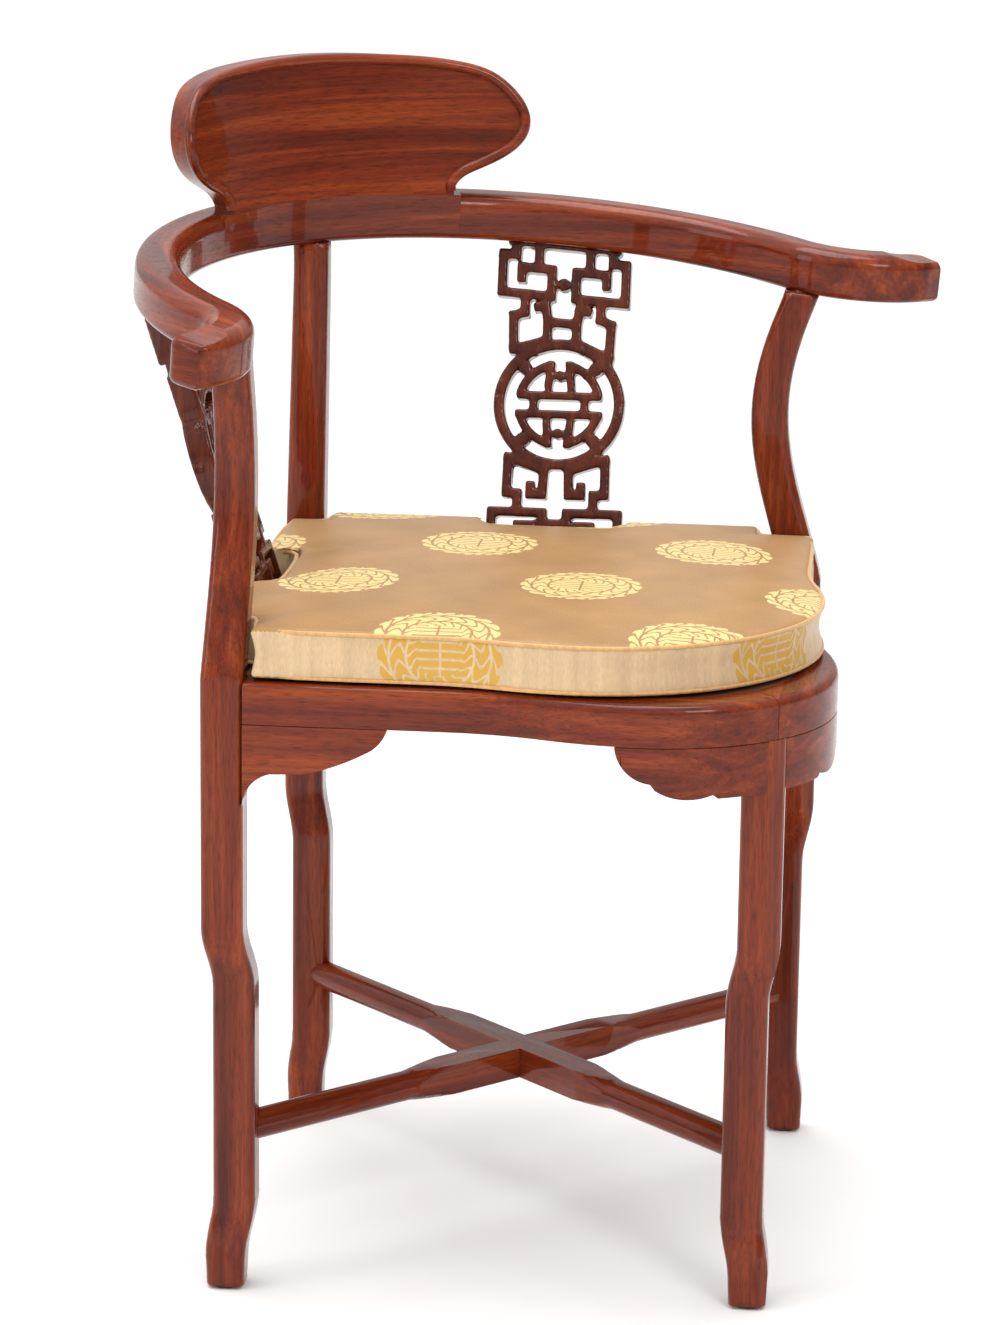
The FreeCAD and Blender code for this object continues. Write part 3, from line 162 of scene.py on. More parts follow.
def shaded(colour, share):
    """A linear colour made darker or lighter."""
    return tuple(min(c * share, 1.0) for c in colour[:3]) + (1.0,)


# Materials
def add(tree, kind, inputs=None, **settings):
    """One node with its settings; each input is a value or an output socket to link."""
    made = tree.nodes.new(kind)
    for name, value in settings.items():
        setattr(made, name, value)
    for key, value in (inputs or {}).items():
        if isinstance(value, bpy.types.NodeSocket):
            tree.links.new(value, made.inputs[key])
        else:
            made.inputs[key].default_value = value
    return made


def new_material(name):
    material = bpy.data.materials.new(name)
    material.use_nodes = True
    tree = material.node_tree
    return material, tree, tree.nodes["Principled BSDF"]


def ramp(tree, factor, stops):
    """A colour ramp through (place, colour) stops."""
    made = add(tree, "ShaderNodeValToRGB", {"Fac": factor})
    points = made.color_ramp.elements
    while len(points) < len(stops):
        points.new(0.5)
    for point, (place, colour) in zip(points, stops):
        point.position = place
        point.color = colour
    return made.outputs["Color"]


def rosewood(name, depth):
    """Rosewood under polished lacquer.

    Dark veins and orange streaks run along the grain, and pores are fine dark dashes.
    """
    material, tree, shader = new_material(name)
    grain = add(tree, "ShaderNodeAttribute", attribute_name="grain").outputs["Vector"]
    tint = colours()

    # Painted shade: depth darkens the wood's colours, not at all on the polished frame and much on the carved splats
    def with_painted_shade(hex_text):
        return tuple(c * d for c, d in zip(linear(hex_text), depth + (1.0,)))

    # Veins are about 18 mm apart and half a metre long
    vein_place = add(tree, "ShaderNodeMapping", {"Vector": grain, "Scale": (2.2, 55.0, 55.0)})
    veins = add(tree, "ShaderNodeTexNoise", {"Vector": vein_place.outputs[0], "Scale": 1.0, "Detail": 5.0,
                                             "Roughness": 0.62, "Distortion": 0.5})
    # Streaks are about 4 mm wide and 110 mm long
    streak_place = add(tree, "ShaderNodeMapping", {"Vector": grain, "Scale": (9.0, 260.0, 260.0)})
    streaks = add(tree, "ShaderNodeTexNoise", {"Vector": streak_place.outputs[0], "Scale": 1.0, "Detail": 3.0})
    # Pores are drawn 0.8 mm wide, coarser than real, so that they show
    pore_place = add(tree, "ShaderNodeMapping", {"Vector": grain, "Scale": (80.0, 1300.0, 1300.0)})
    pores = add(tree, "ShaderNodeTexNoise", {"Vector": pore_place.outputs[0], "Scale": 1.0, "Detail": 1.0})
    body = ramp(tree, veins.outputs["Fac"], [
        (0.2, with_painted_shade(tint.wood_dark)), (0.5, with_painted_shade(tint.wood_mid)), (0.84, with_painted_shade(tint.wood_light))])
    streak_tone = ramp(tree, streaks.outputs["Fac"], [(0.35, (0.76, 0.72, 0.7, 1)), (0.7, (1.14, 1.08, 1.04, 1))])
    pore_tone = ramp(tree, pores.outputs["Fac"], [(0.32, (0.4, 0.34, 0.34, 1)), (0.47, (1, 1, 1, 1))])
    streaked = add(tree, "ShaderNodeMix", {0: 1.0, 6: body, 7: streak_tone}, data_type="RGBA", blend_type="MULTIPLY")
    pored = add(tree, "ShaderNodeMix", {0: 0.75, 6: streaked.outputs[2], 7: pore_tone}, data_type="RGBA",
                blend_type="MULTIPLY")
    tree.links.new(pored.outputs[2], shader.inputs["Base Color"])
    rough = add(tree, "ShaderNodeMapRange", {"Value": pores.outputs["Fac"], "From Min": 0.3, "From Max": 0.6,
                                             "To Min": 0.3, "To Max": 0.16})
    tree.links.new(rough.outputs[0], shader.inputs["Roughness"])
    bump = add(tree, "ShaderNodeBump", {"Height": pores.outputs["Fac"], "Strength": 0.015, "Distance": 0.0005})
    tree.links.new(bump.outputs[0], shader.inputs["Normal"])
    shader.inputs["Specular IOR Level"].default_value = 0.12
    shader.inputs["Coat Weight"].default_value = 0.3
    shader.inputs["Coat Roughness"].default_value = 0.03
    return material


def plain_wood():
    """Unpolished secondary wood of panel, battens, tongue and dowels: pale brown with a straight soft grain."""
    material, tree, shader = new_material("secondary_wood_planed")
    place = add(tree, "ShaderNodeTexCoord").outputs["Object"]
    # Grain lines about 4.5 mm apart
    along = add(tree, "ShaderNodeMapping", {"Vector": place, "Scale": (12.0, 220.0, 220.0)})
    lines = add(tree, "ShaderNodeTexNoise", {"Vector": along.outputs[0], "Scale": 1.0, "Detail": 4.0})
    base = linear(colours().plain_wood)
    tone = ramp(tree, lines.outputs["Fac"], [(0.3, shaded(base, 0.6)), (0.65, base)])
    tree.links.new(tone, shader.inputs["Base Color"])
    bump = add(tree, "ShaderNodeBump", {"Height": lines.outputs["Fac"], "Strength": 0.15, "Distance": 0.0005})
    tree.links.new(bump.outputs[0], shader.inputs["Normal"])
    shader.inputs["Roughness"].default_value = 0.6
    return material


def felt():
    """Pressed wool felt: matt, dark and fuzzy."""
    material, tree, shader = new_material("felt_pressed")
    place = add(tree, "ShaderNodeTexCoord").outputs["Object"]
    # Fibre tufts about 1 mm across
    fuzz = add(tree, "ShaderNodeTexNoise", {"Vector": place, "Scale": 900.0, "Detail": 3.0})
    base = linear(colours().felt)
    tone = ramp(tree, fuzz.outputs["Fac"], [(0.35, base), (0.7, shaded(base, 1.8))])
    tree.links.new(tone, shader.inputs["Base Color"])
    shader.inputs["Roughness"].default_value = 0.95
    shader.inputs["Sheen Weight"].default_value = 0.3
    return material


def medallion_mask(tree, flat, middle, spacing):
    """1 on the woven figure of staggered round medallions, 0 on the ground. Flat holds metres."""
    radius = sizes().medallion
    # Every other row is shifted by half the spacing
    high = (spacing / 2, ROW_SPACING, 1.0)
    low = (-spacing / 2, -ROW_SPACING, -1.0)
    step = (spacing / 2, ROW_SPACING, 0.0)
    shifted = add(tree, "ShaderNodeVectorMath", {0: flat, 1: middle}, operation="SUBTRACT")
    stagger = add(tree, "ShaderNodeVectorMath", {0: shifted.outputs[0], 1: step}, operation="ADD")
    cells = [add(tree, "ShaderNodeVectorMath", {0: source.outputs[0], 1: high, 2: low}, operation="WRAP")
             for source in (shifted, stagger)]
    lengths = [add(tree, "ShaderNodeVectorMath", {0: cell.outputs[0]}, operation="LENGTH") for cell in cells]
    nearer = add(tree, "ShaderNodeMath", {0: lengths[0].outputs["Value"], 1: lengths[1].outputs["Value"]},
                 operation="GREATER_THAN")
    spot = add(tree, "ShaderNodeMix", {0: nearer.outputs[0], 4: cells[0].outputs[0], 5: cells[1].outputs[0]},
               data_type="VECTOR").outputs[1]
    far = add(tree, "ShaderNodeVectorMath", {0: spot}, operation="LENGTH").outputs["Value"]
    parts = add(tree, "ShaderNodeSeparateXYZ", {0: spot})
    turn = add(tree, "ShaderNodeMath", {0: parts.outputs[1], 1: parts.outputs[0]}, operation="ARCTAN2").outputs[0]

    def math_node(operation, first, second=0.0):
        return add(tree, "ShaderNodeMath", {0: first, 1: second}, operation=operation).outputs[0]

    # Eighteen round lobes on the rim
    lobe = math_node("SQRT", math_node("ABSOLUTE", math_node("COSINE", math_node("MULTIPLY", turn, 9.0))))
    rim = math_node("ADD", math_node("MULTIPLY", lobe, 0.09 * radius), 0.93 * radius)
    inside = math_node("LESS_THAN", far, rim)
    # Curling leaves between rim and centre
    curl = math_node("SINE", math_node("MULTIPLY", far, 2 * math.pi / (0.30 * radius)))
    leaves = math_node("SINE", math_node("ADD", math_node("MULTIPLY", turn, 16.0), math_node("MULTIPLY", curl, 2.2)))
    leaf_lines = math_node("GREATER_THAN", leaves, -0.74)
    ring_place = math_node("FRACT", math_node("MULTIPLY", far, 3.6 / radius))
    band = math_node("ABSOLUTE", math_node("SUBTRACT", ring_place, 0.5))
    rings = math_node("LESS_THAN", band, 0.42)
    # Fretted sign in the middle: bars 6.8 mm apart, split by a line 1.8 mm wide
    bar_wave = math_node("COSINE", math_node("MULTIPLY", parts.outputs[1], 2 * math.pi / 0.0068))
    bars = math_node("GREATER_THAN", bar_wave, -0.62)
    stem = math_node("GREATER_THAN", math_node("ABSOLUTE", parts.outputs[0]), 0.0009)
    sign = math_node("MULTIPLY", bars, stem)
    core = math_node("LESS_THAN", far, 0.36 * radius)
    outer = math_node("MULTIPLY", leaf_lines, rings)
    figure = add(tree, "ShaderNodeMix", {0: core, 2: outer, 3: sign}, data_type="FLOAT").outputs[0]
    return math_node("MULTIPLY", inside, figure)


def silk(name, ground, thread, middle, spacing, puckers):
    """Silk satin with a brocaded medallion: soft sheen, fine weave, threads that stand a little proud."""
    material, tree, shader = new_material(name)
    flat = add(tree, "ShaderNodeUVMap", uv_map="cloth").outputs[0]
    mask = medallion_mask(tree, flat, middle, spacing)
    # Weave is drawn at 1.2 mm, coarser than the real thread, so that it shows
    weave_place = add(tree, "ShaderNodeMapping", {"Vector": flat, "Scale": (830.0, 200.0, 1.0)})
    weave = add(tree, "ShaderNodeTexNoise", {"Vector": weave_place.outputs[0], "Scale": 1.0, "Detail": 2.0})
    # Folds over 60 mm on the top, or gathers 9 mm apart on the boxing: they bump the cloth, and painted shade and light
    # follow them in its colour
    scale = (110.0, 9.0, 1.0) if puckers else (16.0, 16.0, 1.0)
    fold_place = add(tree, "ShaderNodeMapping", {"Vector": flat, "Scale": scale})
    folds_and_painted_shade = add(tree, "ShaderNodeTexNoise", {"Vector": fold_place.outputs[0], "Scale": 1.0, "Detail": 2.0})
    base = linear(ground)
    # Painted shade and light: the ground is darker and lighter along the folds and gathers
    cloth = ramp(tree, folds_and_painted_shade.outputs["Fac"], [(0.3, shaded(base, 0.88)), (0.7, shaded(base, 1.1))])
    woven = ramp(tree, weave.outputs["Fac"], [(0.3, (0.9, 0.9, 0.9, 1)), (0.7, (1.06, 1.06, 1.06, 1))])
    plain = add(tree, "ShaderNodeMix", {0: 1.0, 6: cloth, 7: woven}, data_type="RGBA", blend_type="MULTIPLY")
    figured = add(tree, "ShaderNodeMix", {0: mask, 6: plain.outputs[2], 7: linear(thread)}, data_type="RGBA")
    tree.links.new(figured.outputs[2], shader.inputs["Base Color"])
    rough = add(tree, "ShaderNodeMapRange", {"Value": mask, "To Min": 0.42, "To Max": 0.5})
    tree.links.new(rough.outputs[0], shader.inputs["Roughness"])
    thread_bump = add(tree, "ShaderNodeBump", {"Height": mask, "Strength": 0.35, "Distance": 0.0004})
    weave_bump = add(tree, "ShaderNodeBump", {"Height": weave.outputs["Fac"], "Strength": 0.08, "Distance": 0.0004,
                                              "Normal": thread_bump.outputs[0]})
    fold_bump = add(tree, "ShaderNodeBump", {"Height": folds_and_painted_shade.outputs["Fac"], "Strength": 0.5 if puckers else 0.12,
                                             "Distance": 0.002, "Normal": weave_bump.outputs[0]})
    tree.links.new(fold_bump.outputs[0], shader.inputs["Normal"])
    shader.inputs["Sheen Weight"].default_value = 0.08
    shader.inputs["Sheen Roughness"].default_value = 0.4
    shader.inputs["Specular IOR Level"].default_value = 0.3
    return material


def covered_cord():
    """Silk-covered piping cord: satin, with a fine slanting weave."""
    material, tree, shader = new_material("silk_piping")
    place = add(tree, "ShaderNodeTexCoord").outputs["Object"]
    # Bias weave drawn 2 mm apart so that it shows
    slant = add(tree, "ShaderNodeMapping", {"Vector": place, "Rotation": (0.6, 0.4, 0.8),
                                            "Scale": (500.0, 60.0, 60.0)})
    weave = add(tree, "ShaderNodeTexNoise", {"Vector": slant.outputs[0], "Scale": 1.0, "Detail": 1.0})
    base = linear(colours().cord)
    tone = ramp(tree, weave.outputs["Fac"], [(0.35, shaded(base, 0.9)), (0.65, shaded(base, 1.1))])
    tree.links.new(tone, shader.inputs["Base Color"])
    bump = add(tree, "ShaderNodeBump", {"Height": weave.outputs["Fac"], "Strength": 0.2, "Distance": 0.0005})
    tree.links.new(bump.outputs[0], shader.inputs["Normal"])
    shader.inputs["Roughness"].default_value = 0.4
    shader.inputs["Sheen Weight"].default_value = 0.3
    return material


def floor_paint():
    """Matt pale studio floor with a barely mottled coat."""
    material, tree, shader = new_material("studio_floor_matt")
    place = add(tree, "ShaderNodeTexCoord").outputs["Object"]
    mottle = add(tree, "ShaderNodeTexNoise", {"Vector": place, "Scale": 3.0, "Detail": 2.0})
    base = linear(colours().floor)
    tone = ramp(tree, mottle.outputs["Fac"], [(0.3, shaded(base, 0.985)), (0.7, base)])
    tree.links.new(tone, shader.inputs["Base Color"])
    shader.inputs["Roughness"].default_value = 0.8
    shader.inputs["Specular IOR Level"].default_value = 0.1
    return material


def finish(name, maker, *details):
    """The material of that name, made once."""
    return bpy.data.materials.get(name) or maker(*details)


def polished_wood():
    return finish("rosewood_lacquered", rosewood, "rosewood_lacquered", (1.0, 1.0, 1.0))


# Working on meshes
def only(piece):
    """Selects this piece alone and makes it active."""
    if bpy.context.object and bpy.context.object.mode != "OBJECT":
        bpy.ops.object.mode_set(mode="OBJECT")
    bpy.ops.object.select_all(action="DESELECT")
    piece.select_set(True)
    bpy.context.view_layer.objects.active = piece


def edit_all(piece, *steps):
    """Runs (mesh operator, settings) steps on the whole of a piece."""
    only(piece)
    bpy.ops.object.mode_set(mode="EDIT")
    bpy.ops.mesh.select_all(action="SELECT")
    for operator, settings in steps:
        operator(**settings)
    bpy.ops.object.mode_set(mode="OBJECT")


def copy_of(node, name):
    """A merged copy of a CAD node's mesh as a new piece."""
    piece = bpy.data.objects.new(name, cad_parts[node].data.copy())
    bpy.context.scene.collection.objects.link(piece)
    piece.data.materials.clear()
    edit_all(piece, (bpy.ops.mesh.remove_doubles, {"threshold": MERGE}))
    return piece


def remesh(piece, voxel):
    """Replaces a piece's mesh by an even one."""
    piece.data.remesh_voxel_size = voxel
    only(piece)
    bpy.ops.object.voxel_remesh()


def apply_modifier(piece, kind, **settings):
    """Adds a modifier with its settings and applies it."""
    only(piece)
    modifier = piece.modifiers.new(kind.title(), kind)
    for key, value in settings.items():
        setattr(modifier, key, value)
    bpy.ops.object.modifier_apply(modifier=modifier.name)


def points_of(piece):
    """The piece's points as rows of x, y and z."""
    spots = np.empty(len(piece.data.vertices) * 3)
    piece.data.vertices.foreach_get("co", spots)
    return spots.reshape(-1, 3)


def move_points(piece, spots):
    piece.data.vertices.foreach_set("co", spots.ravel())
    piece.data.update()


def seat_axes(spots):
    """Coordinates along the two directions of the seat's sides."""
    x, y = spots[:, 0], spots[:, 1] - SEAT_Y
    return (x - y) * DIAGONAL, (x + y) * DIAGONAL


def grain_of(piece, lie, offset):
    """Stores where each point lies in its timber: along the grain, across it and into it."""
    spots = points_of(piece)
    a, b = seat_axes(spots)
    x, y, z = spots[:, 0], spots[:, 1] - SEAT_Y, spots[:, 2]
    along, across, depth = {
        "upright": (z, x, y),
        "side": (x, y, z),
        "long": (y, x, z),
        "left": (a, b, z),
        "right": (b, a, z),
        "bent": (np.arctan2(x, y) * BEND_RADIUS, np.hypot(x, y), z),
    }[lie]
    store = piece.data.attributes.new("grain", "FLOAT_VECTOR", "POINT")
    store.data.foreach_set("vector", np.stack([along + offset, across + offset * 3, depth], 1).ravel())


def smooth(piece, degrees):
    """Shades a piece smooth, apart from edges that bend more than this."""
    only(piece)
    bpy.ops.object.shade_smooth_by_angle(angle=math.radians(degrees))


# How each timber lies, and its surface: even has its flat faces joined, and eased has softened arrises too
TIMBERS = {
    "left_leg": ("upright", "plain"), "right_leg": ("upright", "plain"),
    "back_leg": ("upright", "plain"), "front_leg": ("upright", "plain"),
    "front_left_rail": ("left", "eased"), "front_right_rail": ("right", "eased"),
    "back_left_rail": ("right", "eased"), "back_right_rail": ("left", "eased"),
    "left_leg_front_bracket": ("left", "eased"), "right_leg_front_bracket": ("right", "eased"),
    "left_leg_back_bracket": ("right", "eased"), "right_leg_back_bracket": ("left", "eased"),
    "back_leg_left_bracket": ("right", "eased"), "back_leg_right_bracket": ("left", "eased"),
    "front_leg_left_bracket": ("left", "eased"), "front_leg_right_bracket": ("right", "eased"),
    "side_stretcher": ("side", "plain"), "long_stretcher": ("long", "plain"),
    "left_arm": ("bent", "even"), "right_arm": ("bent", "even"),
    "yoke": ("bent", "even"), "crest": ("bent", "eased"),
}


class CHAIR_OT_frame(bpy.types.Operator):
    """Polishes the legs, rails, brackets, stretchers, arms, yoke and crest"""

    bl_idname = "chair.frame"
    bl_label = "Polished frame"

    def execute(self, context):
        wood = polished_wood()
        for count, (name, (lie, surface)) in enumerate(TIMBERS.items()):
            piece = copy_of(name, "polished_" + name)
            if surface != "plain":
                edit_all(piece, (bpy.ops.mesh.dissolve_limited, {"angle_limit": FLAT}))
            if surface == "eased":
                apply_modifier(piece, "BEVEL", width=sizes().arris, segments=2, limit_method="ANGLE", angle_limit=SHARP)
            grain_of(piece, lie, count * GRAIN_STEP)
            smooth(piece, JOINERY_SMOOTH)
            apply_modifier(piece, "WEIGHTED_NORMAL", weight=100, keep_sharp=True)
            piece.data.materials.append(wood)
            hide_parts(name)
            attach(piece, "frame")
        return {"FINISHED"}


class CHAIR_OT_splats(bpy.types.Operator):
    """Rounds the strokes of the carved splats"""

    bl_idname = "chair.splats"
    bl_label = "Carved splats"

    def execute(self, context):
        # Painted shade: the carved splats take a darker copy of the rosewood
        wood = finish("rosewood_carved", rosewood, "rosewood_carved", (0.55, 0.62, 0.78))
        for count, name in enumerate(("left_splat", "right_splat")):
            piece = copy_of(name, "carved_" + name)
            remesh(piece, sizes().carving)
            # The first step rounds the strokes' edges, the second makes them 0.6 mm fuller on every side
            apply_modifier(piece, "SMOOTH", factor=0.5, iterations=11)
            apply_modifier(piece, "DISPLACE", strength=0.0006, mid_level=0.0)
            grain_of(piece, "upright", SPLAT_GRAIN + count)
            smooth(piece, ROUND_SMOOTH)
            piece.data.materials.append(wood)
            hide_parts(name)
            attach(piece, "frame")
        return {"FINISHED"}


def edge_path(source, name, chosen):
    """The chosen edges of a merged copy of a CAD node, alone in a mesh."""
    piece = copy_of(source, name)
    mesh = piece.data
    sides = {}
    for face in mesh.polygons:
        for key in face.edge_keys:
            sides.setdefault(key, []).append(face.normal.copy())
    keep = [edge.index for edge in mesh.edges
            if chosen([mesh.vertices[v].co for v in edge.vertices], sides[edge.key])]
    only(piece)
    bpy.ops.object.mode_set(mode="EDIT")
    bpy.ops.mesh.select_mode(type="EDGE")
    bpy.ops.mesh.select_all(action="DESELECT")
    bpy.ops.object.mode_set(mode="OBJECT")
    for index in keep:
        mesh.edges[index].select = True
    bpy.ops.object.mode_set(mode="EDIT")
    bpy.ops.mesh.select_all(action="INVERT")
    bpy.ops.mesh.delete(type="EDGE_FACE")
    bpy.ops.object.mode_set(mode="OBJECT")
    return piece


def tube_along(piece, radius):
    """Turns a path of edges into a round cord or bead."""
    only(piece)
    bpy.ops.object.convert(target="CURVE")
    piece = bpy.context.object
    piece.data.dimensions = "3D"
    piece.data.bevel_depth = radius
    piece.data.bevel_resolution = 3
    piece.data.use_fill_caps = True
    bpy.ops.object.convert(target="MESH")
    piece = bpy.context.object
    edit_all(piece, (bpy.ops.mesh.normals_make_consistent, {"inside": False}))
    return piece


class CHAIR_OT_bead(bpy.types.Operator):
    """Runs the raised bead along the front edge of the crest"""

    bl_idname = "chair.bead"
    bl_label = "Crest bead"

    def execute(self, context):
        spots = points_of(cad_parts["crest"])
        rings = np.hypot(spots[:, 0], spots[:, 1] - SEAT_Y)
        heights = spots[:, 2]
        top, low = heights.max(), heights.min()
        middle = (top + low) / 2
        # The front is a cone: its line runs from the nearest point of the top to that of the foot's middle
        rims = (heights > top - 0.001, (np.abs(spots[:, 0]) < 0.03) & (heights < low + 0.01))
        ends = []
        for rim in rims:
            nearest = np.argmin(np.where(rim, rings, np.inf))
            ends.append((heights[nearest], rings[nearest]))
        (high_z, high_ring), (low_z, low_ring) = ends
        slope = (high_ring - low_ring) / (high_z - low_z)
        base = high_ring - slope * high_z

        def on_front(p):
            return abs(math.hypot(p.x, p.y - SEAT_Y) - base - slope * p.z) < 0.0015

        def chosen(corners, normals):
            # The foot's underside, which stands on the yoke, has no bead
            sharp = len(normals) == 2 and normals[0].angle(normals[1]) > SHARP
            return sharp and all(on_front(p) for p in corners) and min(n.z for n in normals) > -0.95

        path = edge_path("crest", "crest_bead", chosen)
        line = points_of(path)
        # A quarter of the bead's radius stands past the crest's edge
        inset = sizes().bead * 0.75
        line[:, 0] *= 1 - inset / np.abs(line[:, 0]).max()
        line[:, 2] = middle + (line[:, 2] - middle) * (1 - inset / (top - middle))
        line[:, 1] = SEAT_Y + np.sqrt((base + slope * line[:, 2]) ** 2 - line[:, 0] ** 2)
        move_points(path, line)
        bead = tube_along(path, sizes().bead)
        grain_of(bead, "bent", BEAD_GRAIN)
        smooth(bead, ROUND_SMOOTH)
        bead.data.materials.append(polished_wood())
        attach(bead, "frame")
        return {"FINISHED"}


class CHAIR_OT_cushion(bpy.types.Operator):
    """Stuffs the silk box cushion, with its brocade and piping"""

    bl_idname = "chair.cushion"
    bl_label = "Silk cushion"

    def execute(self, context):
        low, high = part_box("cushion_cover")
        seam_low, seam_high = low[2] + SEAM, high[2] - CROWN - SEAM
        piece = copy_of("cushion_foam", "silk_cushion")
        remesh(piece, sizes().voxel)
        self.stuff(context, piece, (seam_low, seam_high))
        apply_modifier(piece, "SUBSURF", levels=1, render_levels=1)
        self.lay_cloth(piece, seam_low, seam_high)
        smooth(piece, ROUND_SMOOTH)
        tint = colours()
        piece.data.materials.append(finish("silk_brocade_top", silk, "silk_brocade_top", tint.silk, tint.thread,
                                           TOP_MEDALLION, TOP_SPACING, False))
        piece.data.materials.append(finish("silk_brocade_boxing", silk, "silk_brocade_boxing", tint.silk_side,
                                           tint.thread_dark, BOXING_MEDALLION, BOXING_SPACING, True))
        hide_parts("cushion_cover", "cushion_foam")
        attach(piece, "cushion")
        self.sew_piping("upper_piping", seam_high)
        self.sew_piping("lower_piping", seam_low)
        return {"FINISHED"}

    def sew_piping(self, name, level):
        """Runs a covered cord along the seam at that level."""
        path = edge_path("cushion_foam", name, lambda corners, _: all(abs(p.z - level) < 0.0002 for p in corners))
        edit_all(path, (bpy.ops.mesh.subdivide, {"number_cuts": 3}),
                 (bpy.ops.mesh.vertices_smooth, {"factor": 0.5, "repeat": 2}))
        line = points_of(path)
        line[:, 0] *= PIPING_SHARE
        line[:, 1] = SEAT_Y + (line[:, 1] - SEAT_Y) * PIPING_SHARE
        move_points(path, line)
        cord = tube_along(path, sizes().piping)
        smooth(cord, ROUND_SMOOTH)
        cord.data.materials.append(finish("silk_piping", covered_cord))
        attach(cord, "cushion")

    def stuff(self, context, piece, seams):
        """Blows the cover out against its seams, and caps how far any point moves."""
        start = points_of(piece)
        held = piece.vertex_groups.new(name="seams")
        near = np.minimum(abs(start[:, 2] - seams[0]), abs(start[:, 2] - seams[1])) < sizes().voxel * 0.6
        held.add([int(i) for i in np.nonzero(near)[0]], 1.0, "REPLACE")
        only(piece)
        cloth = piece.modifiers.new("Cloth", "CLOTH")
        cloth.settings.use_pressure = True
        cloth.settings.uniform_pressure_force = PRESSURE
        cloth.settings.effector_weights.gravity = 0
        cloth.settings.vertex_group_mass = "seams"
        for number in range(1, STUFFING_FRAMES + 1):
            context.scene.frame_set(number)
        bpy.ops.object.modifier_apply(modifier=cloth.name)
        context.scene.frame_set(1)
        moved = points_of(piece) - start
        far = np.linalg.norm(moved, axis=1)
        moved *= np.minimum(1.0, sizes().swelling / np.maximum(far, 1e-9))[:, None]
        spots = start + moved
        spots[:, 2] = np.maximum(spots[:, 2], start[:, 2].min() - SAG)
        move_points(piece, spots)

    def runs(self, a, b):
        """Length along the boxing from the middle of the front left side, for its three stretches."""
        far = np.abs(a).max()
        hub = CORNER_HUB
        bend = far - hub
        turn = np.arctan2(a - hub, -b - hub)
        front = np.where(a < hub, a, np.where(b < -hub, hub + bend * turn, hub + bend * math.pi / 2 + b + hub))
        back_left = -2 * far - b
        back_right = -4 * far - a
        return front, back_left, back_right

    def lay_cloth(self, piece, seam_low, seam_high):
        """Lays the cloth: the top by the seat's sides, the boxing by its run round the edge."""
        mesh = piece.data
        spots = points_of(piece)
        a, b = seat_axes(spots)
        front, back_left, back_right = self.runs(a, b)
        cloth = mesh.uv_layers.new(name="cloth")
        for face in mesh.polygons:
            # Steep faces between the seams, give or take 2 mm, are boxing
            side = abs(face.normal.z) < 0.6 and seam_low - 0.002 < face.center.z < seam_high + 0.002
            face.material_index = 1 if side else 0
            for corner in face.loop_indices:
                index = mesh.loops[corner].vertex_index
                if side:
                    n_a = (face.normal.x - face.normal.y) * DIAGONAL
                    n_b = (face.normal.x + face.normal.y) * DIAGONAL
                    run = back_left if n_a < -0.7 else back_right if n_b > 0.7 else front
                    cloth.data[corner].uv = (run[index], spots[index, 2] - seam_low)
                else:
                    cloth.data[corner].uv = (a[index], b[index])


class CHAIR_OT_hidden(bpy.types.Operator):
    """Finishes the panel, battens, tongue, dowels and felt pads"""

    bl_idname = "chair.hidden"
    bl_label = "Panel, dowels and pads"

    def execute(self, context):
        inside = ("seat_panel", "left_batten", "right_batten", "mitre_key", "rail_dowels", "crest_dowels")
        pads = ("left_foot_pad", "right_foot_pad", "back_foot_pad", "front_foot_pad")
        for names, material in ((inside, finish("secondary_wood_planed", plain_wood)),
                                (pads, finish("felt_pressed", felt))):
            for name in names:
                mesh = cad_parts[name].data
                mesh.materials.clear()
                mesh.materials.append(material)
        return {"FINISHED"}


def area_light(name, place, aim, wide, tall, power):
    """A softbox that faces its aim."""
    data = bpy.data.lights.new(name, "AREA")
    data.shape = "RECTANGLE"
    data.size, data.size_y = wide, tall
    data.energy = power
    lamp = bpy.data.objects.new(name, data)
    bpy.context.scene.collection.objects.link(lamp)
    lamp.location = place
    lamp.rotation_euler = (Vector(aim) - Vector(place)).to_track_quat("-Z", "Y").to_euler()


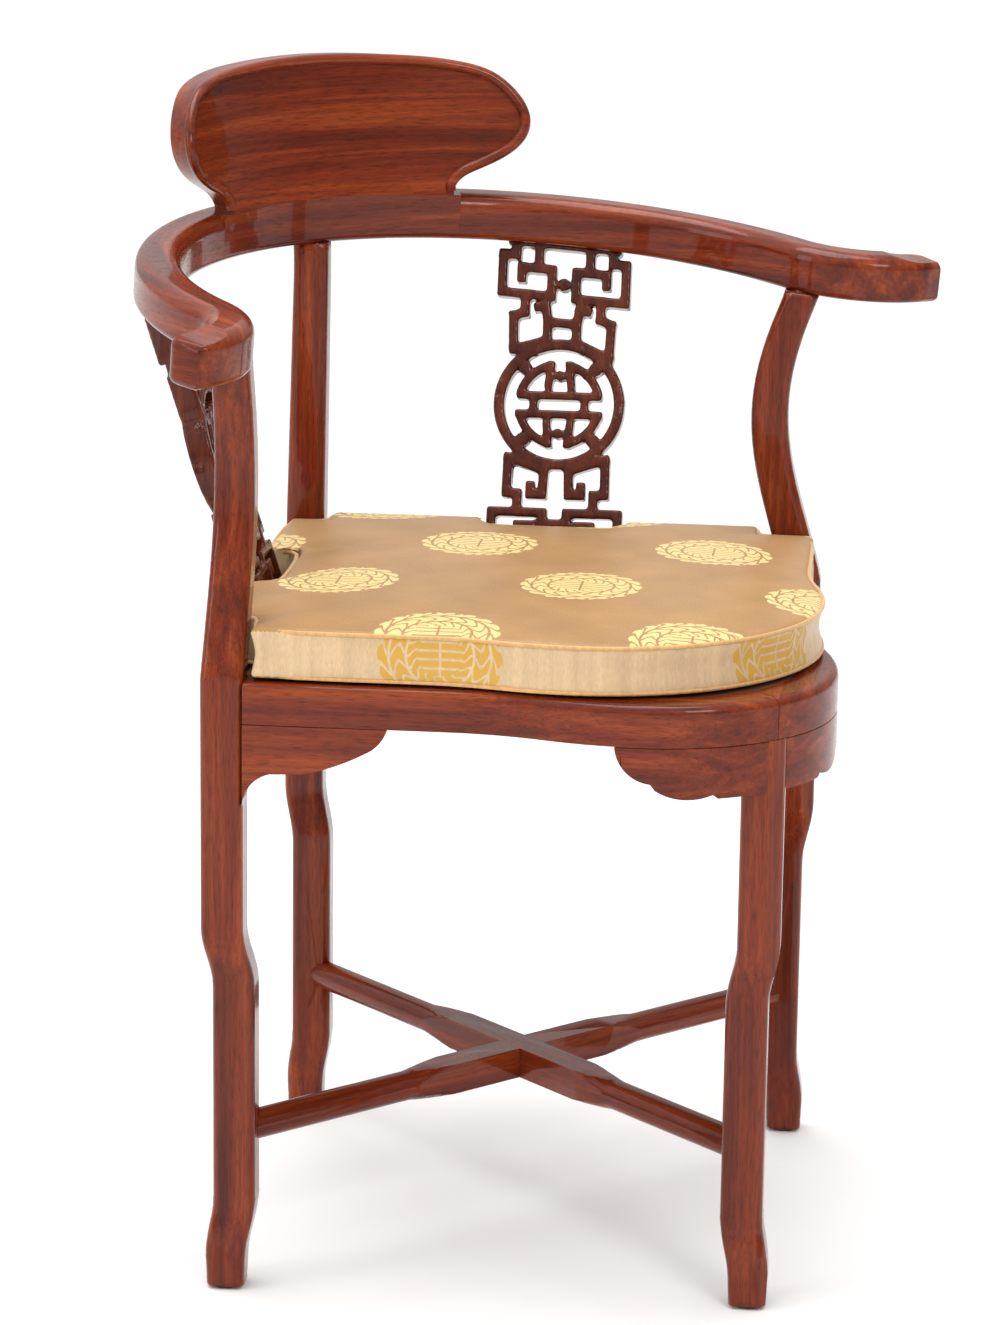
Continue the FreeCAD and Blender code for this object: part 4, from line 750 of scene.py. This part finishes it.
class CHAIR_OT_stage(bpy.types.Operator):
    """Sets the floor, soft studio light and the camera"""

    bl_idname = "chair.stage"
    bl_label = "Stage"

    def execute(self, context):
        if context.object and context.object.mode != "OBJECT":
            bpy.ops.object.mode_set(mode="OBJECT")
        bpy.ops.object.select_all(action="DESELECT")
        bpy.ops.mesh.primitive_plane_add(size=FLOOR_SIZE, location=(0, 0, 0))
        ground = context.object
        ground.name = "studio_floor"
        ground.data.materials.append(finish("studio_floor_matt", floor_paint))
        world = bpy.data.worlds.new("studio")
        context.scene.world = world
        world.use_nodes = True
        tree = world.node_tree
        sky = tree.nodes["Background"]
        sky.inputs["Color"].default_value = (1.0, 1.0, 1.0, 1.0)
        # A bright ceiling above dimmer walls, darker towards the picture's right
        look = add(tree, "ShaderNodeTexCoord").outputs["Generated"]
        rise = add(tree, "ShaderNodeSeparateXYZ", {0: look})
        level = add(tree, "ShaderNodeMapRange", {"Value": rise.outputs[2], "To Min": WALL_LIGHT,
                                                 "To Max": CEILING_LIGHT})
        side = add(tree, "ShaderNodeVectorMath", {0: look, 1: PICTURE_RIGHT}, operation="DOT_PRODUCT")
        fade = add(tree, "ShaderNodeMapRange", {"Value": side.outputs["Value"], "From Min": -1.0,
                                                "To Min": LEFT_LIGHT, "To Max": RIGHT_LIGHT})
        both = add(tree, "ShaderNodeMath", {0: level.outputs[0], 1: fade.outputs[0]}, operation="MULTIPLY")
        tree.links.new(both.outputs[0], sky.inputs["Strength"])
        for softbox in SOFTBOXES:
            area_light(*softbox)
        context.scene.view_settings.view_transform = "Standard"
        self.camera(context)
        return {"FINISHED"}

    def camera(self, context):
        """The photograph's view: azimuth, height, distance and a slight roll."""
        back = Vector((math.sin(AZIMUTH) * math.cos(HEIGHT), -math.cos(AZIMUTH) * math.cos(HEIGHT), math.sin(HEIGHT)))
        level = Vector((math.cos(AZIMUTH), math.sin(AZIMUTH), 0))
        rise = back.cross(level)
        right = level * math.cos(ROLL) + rise * math.sin(ROLL)
        up = rise * math.cos(ROLL) - level * math.sin(ROLL)
        data = bpy.data.cameras.new("photograph")
        data.sensor_fit = "HORIZONTAL"
        data.sensor_width = SENSOR
        data.lens = SENSOR * FOCAL_LENGTH / PHOTO_WIDTH
        data.shift_x = SIDE_SHIFT / PHOTO_WIDTH
        camera = bpy.data.objects.new("photograph", data)
        context.scene.collection.objects.link(camera)
        place = Vector((0, SEAT_Y, TARGET_HEIGHT)) + back * DISTANCE
        turn = Matrix((right, up, back)).transposed().to_4x4()
        camera.matrix_world = Matrix.Translation(place) @ turn
        context.scene.camera = camera


OPERATORS = (CHAIR_OT_frame, CHAIR_OT_bead, CHAIR_OT_splats, CHAIR_OT_cushion, CHAIR_OT_hidden, CHAIR_OT_stage)


class CHAIR_PT_panel(bpy.types.Panel):
    """Lists the chair's pieces"""

    bl_idname = "CHAIR_PT_panel"
    bl_label = "Corner chair"
    bl_space_type = "VIEW_3D"
    bl_region_type = "UI"
    bl_category = "Chair"

    def draw(self, context):
        for operator in OPERATORS:
            self.layout.operator(operator.bl_idname)


CLASSES = (ChairSizes, ChairColours) + OPERATORS + (CHAIR_PT_panel,)


def register():
    for kind in CLASSES:
        bpy.utils.register_class(kind)
    bpy.types.Scene.chair_sizes = bpy.props.PointerProperty(type=ChairSizes)
    bpy.types.Scene.chair_colours = bpy.props.PointerProperty(type=ChairColours)


def unregister():
    del bpy.types.Scene.chair_colours
    del bpy.types.Scene.chair_sizes
    for kind in reversed(CLASSES):
        bpy.utils.unregister_class(kind)


def main():
    register()
    bpy.ops.chair.frame()
    bpy.ops.chair.bead()
    bpy.ops.chair.splats()
    bpy.ops.chair.cushion()
    bpy.ops.chair.hidden()
    bpy.ops.chair.stage()


if __name__ == "__main__":
    main()
